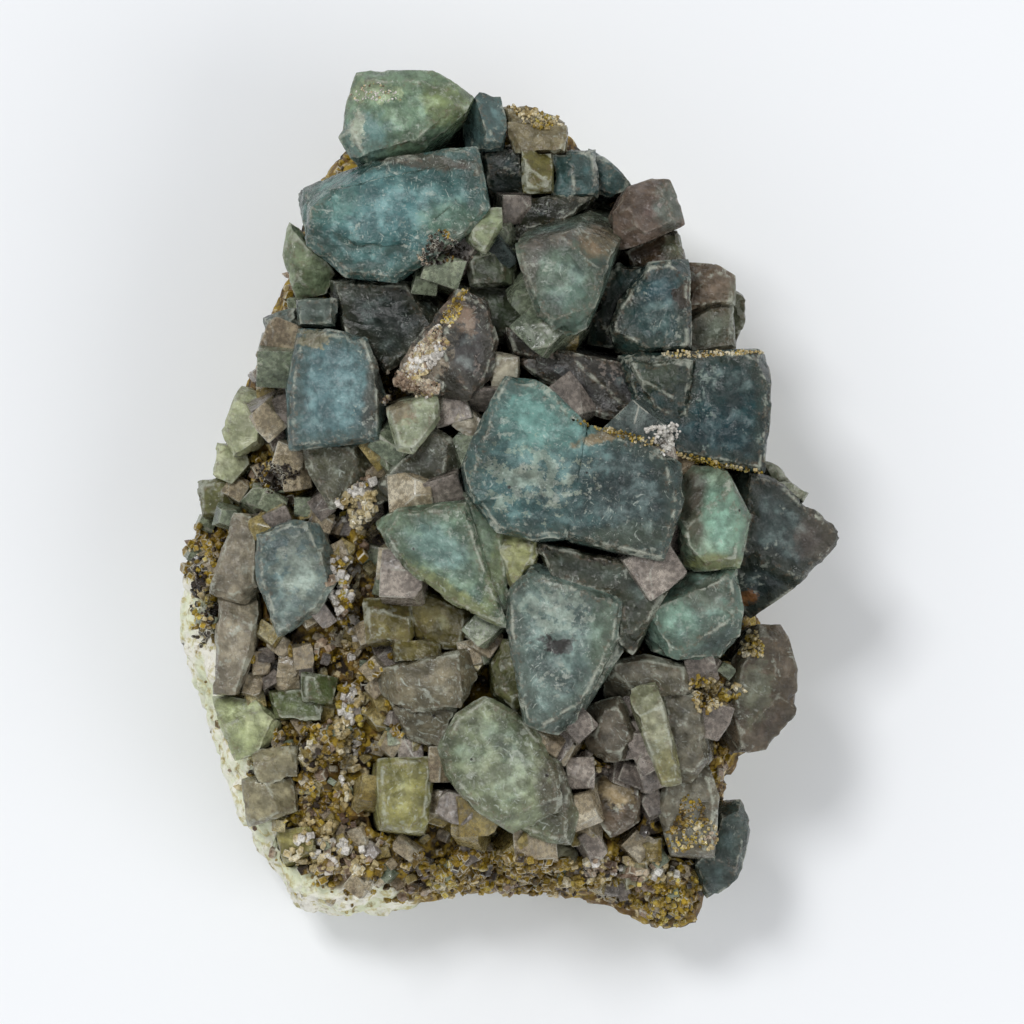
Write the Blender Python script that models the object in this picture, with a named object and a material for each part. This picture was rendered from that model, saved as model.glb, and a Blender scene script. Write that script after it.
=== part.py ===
"""Fluorite specimen: blocky crystals grown together on a plate of quartz rock.

The specimen lies on the flat broken back of its rock. +X is its right, +Y its top
and +Z points out of the crystal side. Sizes in the tables are millimetres, measured
right of and below the upper left corner of a square that holds the specimen.
place() sets them in the part's own frame, and in_metres() scales each finished piece.
"""
import math
import random
from dataclasses import dataclass

import bmesh
import bpy
from mathutils import Matrix, Vector, noise

MM = 0.001

# Driving dimensions in millimetres
SPECIMEN_WIDTH = 66.1
SPECIMEN_HEIGHT = 86.1
LEFT_EDGE = 17.8
TOP_EDGE = 7.2
MIDDLE_RIGHT = LEFT_EDGE + SPECIMEN_WIDTH / 2.0
MIDDLE_DOWN = TOP_EDGE + SPECIMEN_HEIGHT / 2.0
PIECE_GAP = 0.3
ROCK_CROWN = 23.5
ROCK_SHOULDER = 15.5
ROOT_DEPTH = 4.0
ROOT_STRAY = 1.1
CHIP_SMALLEST = 0.35
CHIP_LARGEST = 1.1
CHIP_REACH = 2.5
CHIP_WOBBLE = 0.35
CHIP_MIDDLE = 4.0
MERGE = 0.004
FLAT_ANGLE = math.radians(0.6)
SEED = 41

# Rim of the rock as seen from the crystal side, clockwise from the top, in millimetres
ROCK_RIM = (
    (37.0, 11.0), (43.0, 9.8), (50.3, 11.0), (56.5, 13.6), (62.3, 18.0), (66.4, 23.5), (71.0, 29.4),
    (73.6, 36.0), (75.2, 45.0), (77.8, 52.0), (75.4, 59.0), (76.4, 66.0), (75.6, 73.0), (72.8, 78.0),
    (72.6, 85.0), (69.8, 92.4), (67.0, 93.3), (64.0, 92.0), (60.0, 90.5), (52.0, 89.4), (46.0, 89.6),
    (39.0, 91.5), (33.0, 91.8), (29.5, 91.0), (28.2, 88.6), (25.5, 85.5), (24.0, 82.0), (22.9, 79.0),
    (21.5, 75.0), (20.3, 72.0), (18.9, 68.0), (17.8, 64.0), (17.8, 61.0), (18.3, 57.0), (19.6, 53.0),
    (20.0, 49.5), (21.7, 47.0), (22.6, 43.5), (24.2, 39.5), (26.2, 33.5), (29.0, 27.6), (30.6, 21.0),
    (33.2, 16.0),
)
ROCK_MIDDLE = (49.0, 52.0)
# Rings of the rock from its flat back up over the rim to the crown: share of the rim, height
ROCK_WALL = (
    (0.80, 0.0), (0.89, 1.2), (0.965, 4.6), (1.0, 8.6), (0.98, 11.8), (0.94, 14.4),
)
ROCK_TOP = (0.86, 0.73, 0.56, 0.34)


@dataclass(frozen=True)
class Block:
    """One convex crystal, or one of the crystals of a node that have grown together."""

    face: tuple
    top: float
    lean: tuple = (0.0, 0.0)
    shift: tuple = (0.0, 0.0)
    taper: float = 0.94
    rim: float = 0.45
    chips: int = 2
    root: float = -1.0


@dataclass(frozen=True)
class Crystal:
    """A named piece: its colour and its blocks."""

    name: str
    colour: tuple
    blocks: tuple


TEAL = (0.33, 0.47, 0.48)
DEEP_TEAL = (0.10, 0.27, 0.29)
BLUE_GREY = (0.36, 0.46, 0.50)
SAGE = (0.49, 0.58, 0.50)
PALE_GREEN = (0.62, 0.68, 0.56)
SLATE = (0.20, 0.25, 0.26)
MAUVE = (0.38, 0.34, 0.34)
OLIVE = (0.40, 0.39, 0.26)
CITRON = (0.58, 0.57, 0.33)
SMOKE = (0.42, 0.41, 0.37)
ROCK_BROWN = (0.42, 0.33, 0.20)

# The crystals, front ones first: each is cut back by those listed before it
CRYSTALS = (
    Crystal("shield_crystal", TEAL, (
        Block(((51.7, 24.8), (55.1, 24.6), (57.5, 23.5), (61.1, 25.1), (59.9, 27.3), (59.5, 30.0),
               (58.3, 33.0), (56.5, 33.9), (54.0, 31.7), (52.6, 28.2)), 34.5, (0.05, 0.14), (2.4, -3.6)),
    )),
    Crystal("central_block", TEAL, (
        Block(((50.6, 38.0), (53.4, 38.3), (55.4, 39.6), (58.4, 42.6), (57.1, 45.0), (56.6, 53.6),
               (53.6, 53.9), (49.8, 53.0), (49.0, 51.2), (45.8, 47.8), (48.4, 42.0)), 36.0, (0.03, -0.06)),
        Block(((54.0, 42.4), (58.2, 42.6), (64.0, 44.3), (67.8, 46.5), (68.0, 50.0), (66.0, 55.8),
               (57.3, 53.9), (52.0, 51.0)), 35.0, (-0.07, -0.02), chips=3),
    )),
    Crystal("leaf_crystal", SAGE, (
        Block(((37.8, 52.5), (40.0, 51.2), (46.5, 50.5), (48.0, 55.5), (50.4, 62.4), (46.0, 60.5),
               (41.0, 57.0)), 34.5, (0.10, -0.12), (1.0, -1.4), 0.98),
        Block(((46.6, 49.4), (49.4, 50.2), (50.7, 55.8), (50.8, 60.5), (50.3, 62.3), (48.0, 56.0)),
              33.0, (-0.25, 0.0), chips=1),
    )),
    Crystal("lower_centre_crystal", BLUE_GREY, (
        Block(((53.6, 56.1), (57.8, 57.4), (60.8, 58.7), (61.9, 60.2), (61.6, 63.5), (57.4, 71.8),
               (55.7, 73.1), (52.6, 72.1), (53.1, 68.9), (50.9, 62.6), (50.8, 59.3)), 33.5,
              (-0.06, 0.04), (1.0, -0.2)),
        Block(((61.0, 60.4), (62.0, 61.4), (61.9, 65.0), (60.9, 66.6), (57.6, 71.6), (58.6, 66.0)), 31.0,
              (-0.2, 0.0), chips=1),
    )),
    Crystal("bottom_centre_crystal", SAGE, (
        Block(((44.0, 74.6), (45.8, 71.4), (48.6, 69.6), (52.6, 71.9), (54.5, 74.5), (55.7, 77.4),
               (56.0, 80.6), (51.6, 83.0), (47.3, 80.3), (44.8, 77.1)), 31.5, (0.02, 0.05)),
        Block(((53.0, 73.4), (55.5, 75.2), (57.6, 81.3), (56.9, 84.0), (54.9, 83.8), (52.0, 82.8)), 29.5,
              (-0.1, -0.1), chips=1),
    )),
    Crystal("ridge_crystal", SMOKE, (
        Block(((45.9, 29.4), (48.6, 30.6), (49.6, 34.6), (49.0, 37.6), (46.8, 40.3), (44.3, 39.6),
               (43.4, 36.6)), 34.6, (-0.30, -0.04)),
        Block(((45.7, 29.6), (46.4, 31.2), (44.4, 39.4), (42.2, 39.2), (39.4, 38.2), (41.6, 34.6)), 33.8,
              (0.26, -0.02)),
    )),
    Crystal("pale_wedge", PALE_GREEN, (
        Block(((39.0, 41.1), (43.6, 39.6), (43.9, 41.9), (41.3, 45.2), (40.0, 44.9)), 34.0,
              (0.05, 0.1), (-0.4, -0.8), chips=1),
    )),
    Crystal("blue_block", TEAL, (
        Block(((29.4, 19.2), (32.2, 18.1), (36.9, 16.5), (47.6, 15.0), (48.8, 21.0), (47.1, 23.1),
               (42.1, 25.3), (41.0, 27.3), (39.6, 28.2), (34.8, 27.6), (31.0, 24.6)), 30.6,
              (0.08, 0.10), (0.6, 0.3), chips=3),
        Block(((33.4, 19.4), (44.6, 17.0), (45.4, 20.4), (40.2, 24.4), (34.4, 24.6)), 31.5,
              (0.08, 0.10), taper=1.02, rim=0.3, chips=1),
    )),
    Crystal("left_blue_cube", BLUE_GREY, (
        Block(((30.3, 33.1), (33.0, 33.3), (36.8, 34.1), (37.1, 37.3), (38.8, 40.3), (38.1, 43.9),
               (32.8, 44.4), (29.4, 44.8), (29.2, 38.6)), 31.5, (0.10, 0.02), (-0.8, 0.2), 0.97),
    )),
    Crystal("white_chip", PALE_GREEN, (
        Block(((46.3, 40.4), (48.3, 42.1), (47.7, 44.1), (45.3, 42.6)), 33.0, (0.0, 0.2), rim=0.3,
              chips=1),
    )),
    Crystal("smoky_crystal", SMOKE, (
        Block(((41.5, 45.2), (43.5, 42.8), (45.8, 44.7), (46.1, 46.4), (42.1, 48.7), (38.0, 50.2),
               (37.5, 49.0)), 31.8, (0.12, -0.08)),
    )),
    Crystal("shell_crystal_upper", TEAL, (
        Block(((68.3, 46.8), (70.6, 46.6), (72.4, 47.4), (73.6, 49.8), (74.6, 51.6), (74.1, 53.5),
               (73.6, 56.5), (68.6, 56.9), (67.9, 53.8), (68.1, 50.1)), 31.8, (-0.14, -0.03), rim=0.9,
              chips=3),
    )),
    Crystal("shell_crystal_lower", TEAL, (
        Block(((66.0, 57.6), (70.3, 57.0), (73.3, 57.1), (73.3, 60.5), (73.9, 60.8), (73.6, 63.3),
               (71.8, 65.4), (67.7, 65.6), (65.2, 64.7), (64.1, 62.8)), 30.6, (-0.05, 0.06), rim=0.8,
              chips=3),
    )),
    Crystal("yellow_pyramid", PALE_GREEN, (
        Block(((49.6, 53.4), (53.6, 54.1), (53.5, 56.1), (51.2, 58.6)), 33.0, (0.0, 0.0), rim=0.5,
              chips=1),
    )),
    Crystal("under_slab", SLATE, (
        Block(((53.6, 54.3), (61.8, 56.1), (67.2, 57.5), (65.5, 60.0), (63.0, 65.0), (61.0, 62.0),
               (55.0, 57.4)), 32.0, (-0.12, 0.04), rim=0.3, chips=1),
    )),
    Crystal("white_studs", PALE_GREEN, (
        Block(((49.2, 35.5), (51.6, 36.0), (51.4, 38.4), (49.3, 38.6)), 33.0, (0.1, 0.0), rim=0.3,
              chips=1),
    )),
    Crystal("purple_slabs", SLATE, (
        Block(((50.8, 33.1), (55.1, 34.5), (54.5, 35.8), (51.5, 35.4)), 30.8, (0.0, -0.1), rim=0.2,
              chips=0),
        Block(((52.1, 36.3), (54.4, 35.2), (60.0, 36.0), (64.0, 37.3), (64.4, 43.0), (58.5, 41.0)),
              30.0, (0.02, -0.08), rim=0.3, chips=1),
    )),
    Crystal("deep_teal_block", DEEP_TEAL, (
        Block(((62.0, 35.8), (71.2, 35.6), (76.1, 35.2), (76.5, 35.6), (76.8, 39.3), (76.5, 42.2),
               (76.1, 47.1), (67.5, 45.4), (66.0, 43.0), (63.2, 40.2)), 29.6, (-0.10, 0.06), (-1.2, 0.0),
              chips=2),
        Block(((63.0, 36.4), (69.0, 36.3), (68.4, 41.6), (65.6, 41.0)), 30.9, (-0.05, -0.05),
              taper=1.0, rim=0.3, chips=1),
    )),
    Crystal("rounded_block", MAUVE, (
        Block(((62.9, 19.1), (65.1, 18.4), (66.7, 18.4), (67.6, 20.5), (68.1, 22.5), (66.3, 23.2),
               (63.3, 24.6), (61.6, 25.0), (61.5, 21.6)), 29.0, (-0.12, 0.02), (-1.6, 0.8), 0.85, 1.1),
    )),
    Crystal("teal_cube", TEAL, (
        Block(((64.9, 26.6), (68.7, 26.2), (68.8, 34.8), (61.9, 35.3), (61.1, 33.0), (62.0, 30.3)),
              29.0, (-0.06, 0.02), (-1.0, 0.2)),
        Block(((59.4, 29.4), (61.8, 26.6), (64.2, 26.8), (61.6, 30.4), (61.2, 34.6), (59.0, 34.2)), 26.5,
              (0.10, 0.0), chips=1),
    )),
    Crystal("brown_block", MAUVE, (
        Block(((62.9, 25.3), (67.7, 23.3), (68.3, 26.0), (63.6, 27.6)), 26.0, (-0.1, 0.1), (-0.8, 0.0),
              chips=1),
    )),
    Crystal("top_crystal", SAGE, (
        Block(((35.9, 7.7), (38.5, 7.8), (41.0, 7.2), (43.2, 7.5), (45.0, 8.7), (47.2, 9.6), (46.4, 11.2),
               (43.7, 13.7), (41.7, 15.5), (35.7, 16.7), (34.2, 13.9), (35.1, 10.1)), 27.6,
              (0.0, 0.10), (1.2, 3.2), 0.72, 1.3, 3),
    )),
    Crystal("upright_leaf", PALE_GREEN, (
        Block(((47.1, 21.6), (50.1, 21.1), (50.0, 22.8), (48.5, 25.3), (47.0, 24.2)), 31.0, (0.0, -0.1),
              chips=1),
    )),
    Crystal("grey_green_pair", SAGE, (
        Block(((46.8, 25.8), (51.2, 25.2), (51.4, 28.4), (47.2, 28.6)), 28.2, (0.1, 0.0), chips=1),
        Block(((44.6, 28.6), (50.6, 28.6), (53.4, 32.6), (50.4, 34.6)), 25.2, (0.0, 0.0), chips=1),
    )),
    Crystal("slate_slab", SLATE, (
        Block(((33.3, 28.4), (41.6, 28.5), (44.4, 30.3), (43.6, 32.0), (41.6, 35.3), (38.6, 37.0),
               (36.8, 34.4), (33.3, 32.4)), 27.6, (0.08, 0.02), chips=2),
    )),
    Crystal("green_corner_crystal", PALE_GREEN, (
        Block(((29.1, 22.6), (31.0, 24.6), (33.3, 27.4), (32.5, 29.2), (29.8, 29.8), (28.6, 25.6)),
              24.5, (0.2, 0.0), (1.2, 0.4), 0.8, 0.9),
    )),
    Crystal("small_blue_block", BLUE_GREY, (
        Block(((30.0, 30.1), (33.6, 30.2), (33.5, 32.6), (30.2, 32.4)), 28.0, (0.05, 0.0), chips=1),
        Block(((26.6, 32.0), (29.6, 31.0), (30.2, 33.6), (27.4, 35.0)), 25.0, (0.1, 0.0), (0.6, 0.0),
              chips=1),
    )),
    Crystal("olive_left_crystal", SMOKE, (
        Block(((30.6, 44.8), (37.3, 44.6), (38.0, 46.2), (36.9, 49.5), (33.3, 50.7), (31.0, 46.8)),
              29.0, (0.06, 0.04)),
    )),
    Crystal("left_hex_crystal", BLUE_GREY, (
        Block(((25.9, 53.5), (29.0, 52.2), (32.3, 52.6), (33.5, 56.2), (33.5, 58.2), (31.7, 61.0),
               (28.0, 63.4), (26.0, 57.8)), 27.2, (0.06, 0.02), (0.3, 0.3)),
        Block(((32.8, 51.5), (34.9, 51.8), (34.7, 54.4), (33.2, 54.6)), 25.6, chips=0),
    )),
    Crystal("tall_prisms", MAUVE, (
        Block(((23.6, 51.5), (25.6, 51.8), (25.6, 59.0), (24.5, 60.2), (21.2, 59.2), (22.8, 53.8)),
              23.6, (0.2, 0.0), (0.8, 0.0), chips=1),
        Block(((22.2, 57.6), (25.2, 57.6), (25.6, 61.4), (25.0, 65.4), (23.5, 69.2), (21.5, 69.2)), 22.4,
              (0.2, 0.0), (0.8, 0.0), chips=1),
    )),
    Crystal("left_edge_crystals", PALE_GREEN, (
        Block(((21.9, 44.5), (24.3, 44.9), (24.5, 46.3), (23.0, 48.1), (21.5, 47.3)), 19.6, (0.15, 0.0),
              (1.0, 0.0), chips=1),
        Block(((24.0, 38.8), (26.2, 40.0), (25.9, 44.4), (23.6, 45.6), (22.4, 43.2)), 20.8, (0.2, 0.0),
              (1.2, 0.0)),
    )),
    Crystal("olive_edge_crystal", OLIVE, (
        Block(((19.9, 48.3), (22.6, 48.0), (23.0, 51.2), (20.3, 51.6)), 17.4, (0.2, 0.0), (1.0, 0.2),
              chips=1),
    )),
    Crystal("fractured_slabs", SMOKE, (
        Block(((37.7, 67.1), (46.6, 65.0), (47.6, 67.6), (46.0, 70.4), (41.0, 70.9), (38.5, 69.4)),
              29.0, (0.08, -0.14), rim=0.3),
        Block(((39.0, 69.6), (46.0, 69.6), (44.0, 74.6), (41.0, 73.6)), 27.4, (0.06, -0.1), rim=0.3,
              chips=1),
    )),
    Crystal("olive_small_crystal", OLIVE, (
        Block(((50.4, 64.0), (52.4, 64.1), (53.1, 65.3), (53.1, 68.9), (52.4, 71.4), (49.8, 69.2),
               (49.4, 66.2)), 31.2, (0.0, -0.06), rim=0.8),
    )),
    Crystal("olive_blocks", OLIVE, (
        Block(((36.6, 60.0), (41.0, 59.8), (41.2, 64.1), (37.0, 64.1)), 28.0, (0.0, 0.05), chips=1),
        Block(((40.8, 58.6), (46.8, 61.0), (46.2, 64.6), (41.0, 64.4)), 27.2, (0.0, 0.05), chips=1),
        Block(((39.6, 63.9), (44.0, 64.2), (43.9, 66.1), (39.8, 66.0)), 28.2, (0.0, 0.1), rim=0.2,
              chips=0),
    )),
    Crystal("lens_crystal", SMOKE, (
        Block(((58.0, 70.9), (61.8, 69.8), (63.8, 73.4), (63.0, 75.7), (60.5, 75.9), (59.0, 74.7)),
              28.0, (-0.05, 0.0), rim=1.0),
    )),
    Crystal("blade_crystal", PALE_GREEN, (
        Block(((63.1, 68.9), (65.3, 68.4), (66.0, 70.1), (67.3, 75.1), (67.8, 78.1), (66.3, 78.2),
               (65.0, 75.1), (63.3, 70.6)), 29.0, (0.0, -0.12), rim=0.35, chips=1),
    )),
    Crystal("grey_cluster", SMOKE, (
        Block(((60.4, 66.4), (64.5, 65.6), (68.5, 66.6), (68.8, 69.0), (64.0, 69.6), (60.6, 69.4)),
              27.0, (0.0, -0.08)),
        Block(((66.2, 68.4), (69.8, 69.4), (70.4, 76.0), (68.4, 78.6), (66.8, 74.0)), 25.6, (-0.1, 0.0)),
        Block(((67.4, 75.0), (70.2, 75.6), (71.6, 79.6), (71.2, 85.4), (67.2, 85.2), (65.9, 80.6)), 23.4,
              (-0.05, -0.05)),
    )),
    Crystal("mauve_crystal", MAUVE, (
        Block(((59.5, 77.5), (63.8, 78.5), (63.5, 82.0), (61.0, 83.5), (59.6, 81.0)), 25.4, (0.0, 0.1)),
    )),
    Crystal("citron_block", CITRON, (
        Block(((38.1, 76.0), (43.0, 75.7), (43.2, 77.5), (42.2, 79.0), (42.5, 83.0), (38.5, 82.5),
               (38.0, 79.0)), 28.0, (0.05, 0.03), chips=1),
    )),
    Crystal("right_tip_crystal", SLATE, (
        Block(((72.6, 47.1), (77.3, 47.9), (80.4, 50.6), (83.7, 53.2), (83.9, 53.8), (82.0, 55.9),
               (79.3, 58.7), (77.3, 60.5), (76.2, 61.9), (73.5, 58.5)), 23.6, (-0.24, 0.02),
              (-3.4, 0.0), 0.86, 0.4, 3),
    )),
    Crystal("right_rim_cubes", PALE_GREEN, (
        Block(((76.3, 46.2), (78.1, 47.1), (79.1, 48.8), (77.4, 48.6)), 21.6, (-0.1, 0.0), (-1.4, 0.4),
              rim=0.3, chips=0),
        Block(((77.6, 48.2), (79.0, 48.4), (80.6, 49.4), (80.1, 50.7), (78.8, 51.2)), 22.4, (-0.1, 0.0),
              (-2.0, 0.6), rim=0.3, chips=0, root=14.0),
    )),
    Crystal("right_edge_blocks", MAUVE, (
        Block(((68.9, 26.5), (71.5, 26.8), (73.2, 27.8), (73.2, 30.4), (68.8, 30.9)), 25.0,
              (-0.15, 0.05), (-1.0, 0.4)),
        Block(((68.8, 30.5), (73.0, 30.5), (73.3, 34.7), (69.0, 35.3)), 24.0, (-0.1, 0.0), (-0.8, 0.0),
              chips=1),
        Block(((72.8, 28.7), (74.5, 30.0), (74.5, 32.1), (73.9, 34.6), (72.4, 33.4)), 20.5,
              (-0.2, 0.0), (-1.4, 0.0), chips=1),
    )),
    Crystal("right_mauve_block", MAUVE, (
        Block(((75.9, 62.6), (78.1, 62.6), (78.7, 65.1), (79.7, 67.6), (79.4, 71.4), (77.9, 71.8),
               (76.4, 74.7), (73.8, 75.1), (72.5, 72.0), (73.4, 66.0)), 22.6, (-0.12, 0.02), (-2.6, 0.0),
              0.86, 1.1, 3),
    )),
    Crystal("bottom_right_lobe", BLUE_GREY, (
        Block(((72.2, 81.0), (74.0, 80.3), (74.8, 82.6), (73.9, 85.3), (73.8, 87.8), (71.5, 90.2),
               (69.9, 86.6)), 17.0, (-0.1, 0.0), (-2.4, -0.6), 0.8, 1.0, root=7.0),
    )),
    Crystal("blue_shoulder", BLUE_GREY, (
        Block(((46.6, 11.3), (48.0, 9.6), (49.9, 9.8), (50.4, 12.0), (50.3, 14.8), (46.6, 14.6)),
              24.6, (0.0, 0.1), (-0.4, 1.6), 0.85, 0.7),
    )),
    Crystal("teal_ledge", DEEP_TEAL, (
        Block(((48.4, 15.2), (52.0, 15.0), (52.2, 19.4), (49.2, 19.6)), 22.4, (0.0, 0.1), chips=1),
    )),
    Crystal("cream_block", PALE_GREEN, (
        Block(((50.8, 12.4), (56.6, 12.7), (56.4, 15.2), (51.6, 15.1)), 24.8, (0.0, 0.15), (0.0, 1.4),
              0.85),
        Block(((50.4, 11.0), (53.2, 11.0), (56.2, 12.5), (56.0, 13.4), (51.0, 13.2)), 22.6, (0.0, 0.2),
              (0.2, 1.6), 0.8, chips=1),
    )),
    Crystal("olive_cube", OLIVE, (
        Block(((52.4, 15.5), (55.0, 15.4), (55.0, 19.1), (52.5, 19.2)), 25.6, (-0.05, 0.1), chips=1),
    )),
    Crystal("upper_teal_cubes", TEAL, (
        Block(((55.3, 15.4), (59.4, 15.2), (59.6, 19.6), (55.3, 19.8)), 23.8, (-0.05, 0.1),
              (0.0, 0.8)),
        Block(((58.8, 14.8), (60.8, 16.2), (62.9, 18.6), (61.0, 19.4), (58.8, 19.2)), 21.4,
              (-0.05, 0.1), (-1.0, 1.4), 0.82, chips=1),
    )),
    Crystal("dark_ledge", SLATE, (
        Block(((52.6, 20.0), (59.2, 19.8), (55.0, 23.2), (51.0, 24.2)), 24.4, (0.0, 0.0), rim=0.3,
              chips=1),
    )),
    Crystal("pale_green_left", PALE_GREEN, (
        Block(((21.2, 69.9), (25.4, 70.3), (27.9, 72.6), (26.6, 74.8), (23.6, 75.8)), 20.6,
              (0.14, -0.04), (0.8, -0.4), chips=3),
    )),
    Crystal("green_block", SAGE, (
        Block(((30.4, 67.4), (33.5, 67.8), (33.0, 70.1), (30.5, 69.9)), 24.0, (0.0, 0.1), chips=1),
        Block(((27.3, 69.3), (32.5, 69.1), (32.0, 71.8), (28.0, 71.6)), 23.0, (0.0, 0.1), chips=1),
    )),
    Crystal("lower_left_cubes", SMOKE, (
        Block(((25.4, 75.2), (29.6, 74.8), (29.5, 77.5), (26.0, 78.4)), 21.2, (0.1, 0.0), (0.4, -0.2)),
        Block(((24.4, 78.1), (29.0, 77.8), (29.4, 81.0), (25.0, 82.4)), 20.4, (0.1, -0.05), (0.6, -0.4)),
    )),
    Crystal("corner_cube", CITRON, (
        Block(((27.8, 83.2), (31.0, 82.8), (31.3, 85.0), (28.4, 86.0)), 18.4, (0.1, -0.1), chips=1),
    )),
    Crystal("bottom_edge_cubes", PALE_GREEN, (
        Block(((54.2, 84.2), (57.2, 84.0), (57.7, 86.2), (54.6, 86.9)), 20.8, (0.0, -0.1), chips=1),
    )),
    Crystal("bottom_right_cube", PALE_GREEN, (
        Block(((62.4, 85.9), (64.2, 85.8), (64.8, 87.8), (62.8, 88.8)), 19.0, (0.0, -0.1), chips=1),
    )),
)

# Small crystals grown fast to the rock itself
ROCK_BLOCKS = (
    Block(((26.0, 46.2), (29.6, 46.0), (30.0, 49.2), (26.4, 49.4)), 21.6, (0.1, 0.0), chips=1),
    Block(((33.6, 51.6), (36.4, 51.2), (36.8, 55.0), (34.8, 56.4)), 25.0, (0.0, 0.1), chips=1),
    Block(((29.0, 62.2), (33.0, 62.6), (33.4, 66.2), (29.2, 66.0)), 23.0, (0.1, 0.0), chips=1),
    Block(((57.8, 73.0), (60.0, 72.0), (61.0, 76.4), (58.8, 77.2)), 25.4, (0.0, 0.1), chips=1),
    Block(((63.6, 79.2), (66.4, 79.0), (66.4, 83.0), (64.0, 83.4)), 22.6, (0.0, 0.1), chips=1),
    Block(((45.0, 84.8), (48.6, 84.2), (49.0, 87.0), (45.4, 87.4)), 20.6, (0.0, -0.1), chips=1),
    Block(((58.2, 84.4), (61.2, 84.0), (61.6, 87.2), (58.4, 87.4)), 20.4, (0.0, -0.1), chips=1),
    Block(((71.0, 66.4), (74.2, 66.0), (74.4, 70.0), (71.2, 71.0)), 22.2, (-0.1, 0.0), chips=1),
    Block(((30.6, 71.8), (34.4, 72.4), (34.0, 75.8), (30.8, 75.6)), 22.6, (0.1, 0.0), chips=1),
    Block(((33.6, 78.6), (36.8, 78.2), (36.9, 81.6), (34.0, 82.0)), 21.8, (0.0, 0.1), chips=1),
    Block(((19.6, 57.6), (21.4, 56.8), (21.6, 60.4), (19.8, 61.4)), 18.6, (0.2, 0.0), chips=1),
    Block(((34.8, 86.4), (38.0, 86.0), (38.4, 88.8), (35.2, 89.2)), 18.6, (0.0, -0.1), chips=1),
)

# Fields of druse, each the middle, the half width and the half height in millimetres, and how many lumps
DRUSE_FIELDS = (
    ((27.0, 57.0), (6.5, 8.0), 4), ((35.5, 58.0), (2.6, 7.0), 4), ((27.5, 67.0), (5.5, 3.0), 2),
    ((34.6, 74.5), (3.6, 8.0), 6), ((33.0, 86.0), (5.5, 4.5), 5), ((64.0, 88.0), (5.0, 3.4), 4),
    ((67.2, 90.0), (2.6, 2.6), 2), ((26.6, 38.0), (2.0, 5.5), 3),
)
SMALL_FACET = 1.6
LUMP_SMALLEST = 0.75
LUMP_LARGEST = 1.35
LUMP_SPACING = 1.85
LUMP_LIFT = 0.45
LUMP_TRIES = 12
DRUSE_LIMIT = 0.93


def place(right, down, height):
    """Turn a spot right of and below the corner of the specimen's square into the part's frame."""
    return Vector((right - MIDDLE_RIGHT, MIDDLE_DOWN - down, height))


def rim_share(right, down):
    """How far out a spot lies between the middle of the rock (0) and its rim (1)."""
    spot = Vector((right - ROCK_MIDDLE[0], down - ROCK_MIDDLE[1]))
    share = 0.0
    for start, end in zip(ROCK_RIM, ROCK_RIM[1:] + ROCK_RIM[:1]):
        first = Vector((start[0] - ROCK_MIDDLE[0], start[1] - ROCK_MIDDLE[1]))
        second = Vector((end[0] - ROCK_MIDDLE[0], end[1] - ROCK_MIDDLE[1]))
        span = first.x * second.y - first.y * second.x
        along_first = (spot.x * second.y - spot.y * second.x) / span
        along_second = (first.x * spot.y - first.y * spot.x) / span
        if along_first >= 0.0 and along_second >= 0.0:
            share = max(share, along_first + along_second)
    return share


def ground(right, down):
    """Height of the rock's upper side at a spot, in millimetres."""
    share = min(rim_share(right, down), 1.0)
    dome = ROCK_SHOULDER + (ROCK_CROWN - ROCK_SHOULDER) * (1.0 - share ** 2)
    lumps = noise.noise(Vector((right * 0.11, down * 0.11, 3.0))) * 2.0
    ledges = noise.noise(Vector((right * 0.31, down * 0.31, 9.0))) * 0.9
    return dome + (lumps + ledges) * min(1.0, (1.0 - share) * 5.0)


def hull(points):
    """A closed convex bmesh around points, flat faces left whole."""
    bm = bmesh.new()
    for point in points:
        bm.verts.new(point)
    made = bmesh.ops.convex_hull(bm, input=bm.verts)
    inner = {item for item in made["geom_interior"] if isinstance(item, bmesh.types.BMVert)}
    inner.update(vert for vert in bm.verts if not vert.link_faces)
    bmesh.ops.delete(bm, geom=list(inner), context="VERTS")
    bmesh.ops.dissolve_limit(bm, angle_limit=FLAT_ANGLE, verts=bm.verts, edges=bm.edges)
    bmesh.ops.recalc_face_normals(bm, faces=bm.faces)
    return bm


def cut_by_plane(bm, spot, normal):
    """Cut a convex bmesh by a plane, drop what lies past it, and close it again."""
    geometry = list(bm.verts) + list(bm.edges) + list(bm.faces)
    bmesh.ops.bisect_plane(bm, geom=geometry, dist=1e-5, plane_co=spot, plane_no=normal, clear_outer=True)
    points = [vert.co.copy() for vert in bm.verts]
    bm.free()
    return hull(points)


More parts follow.
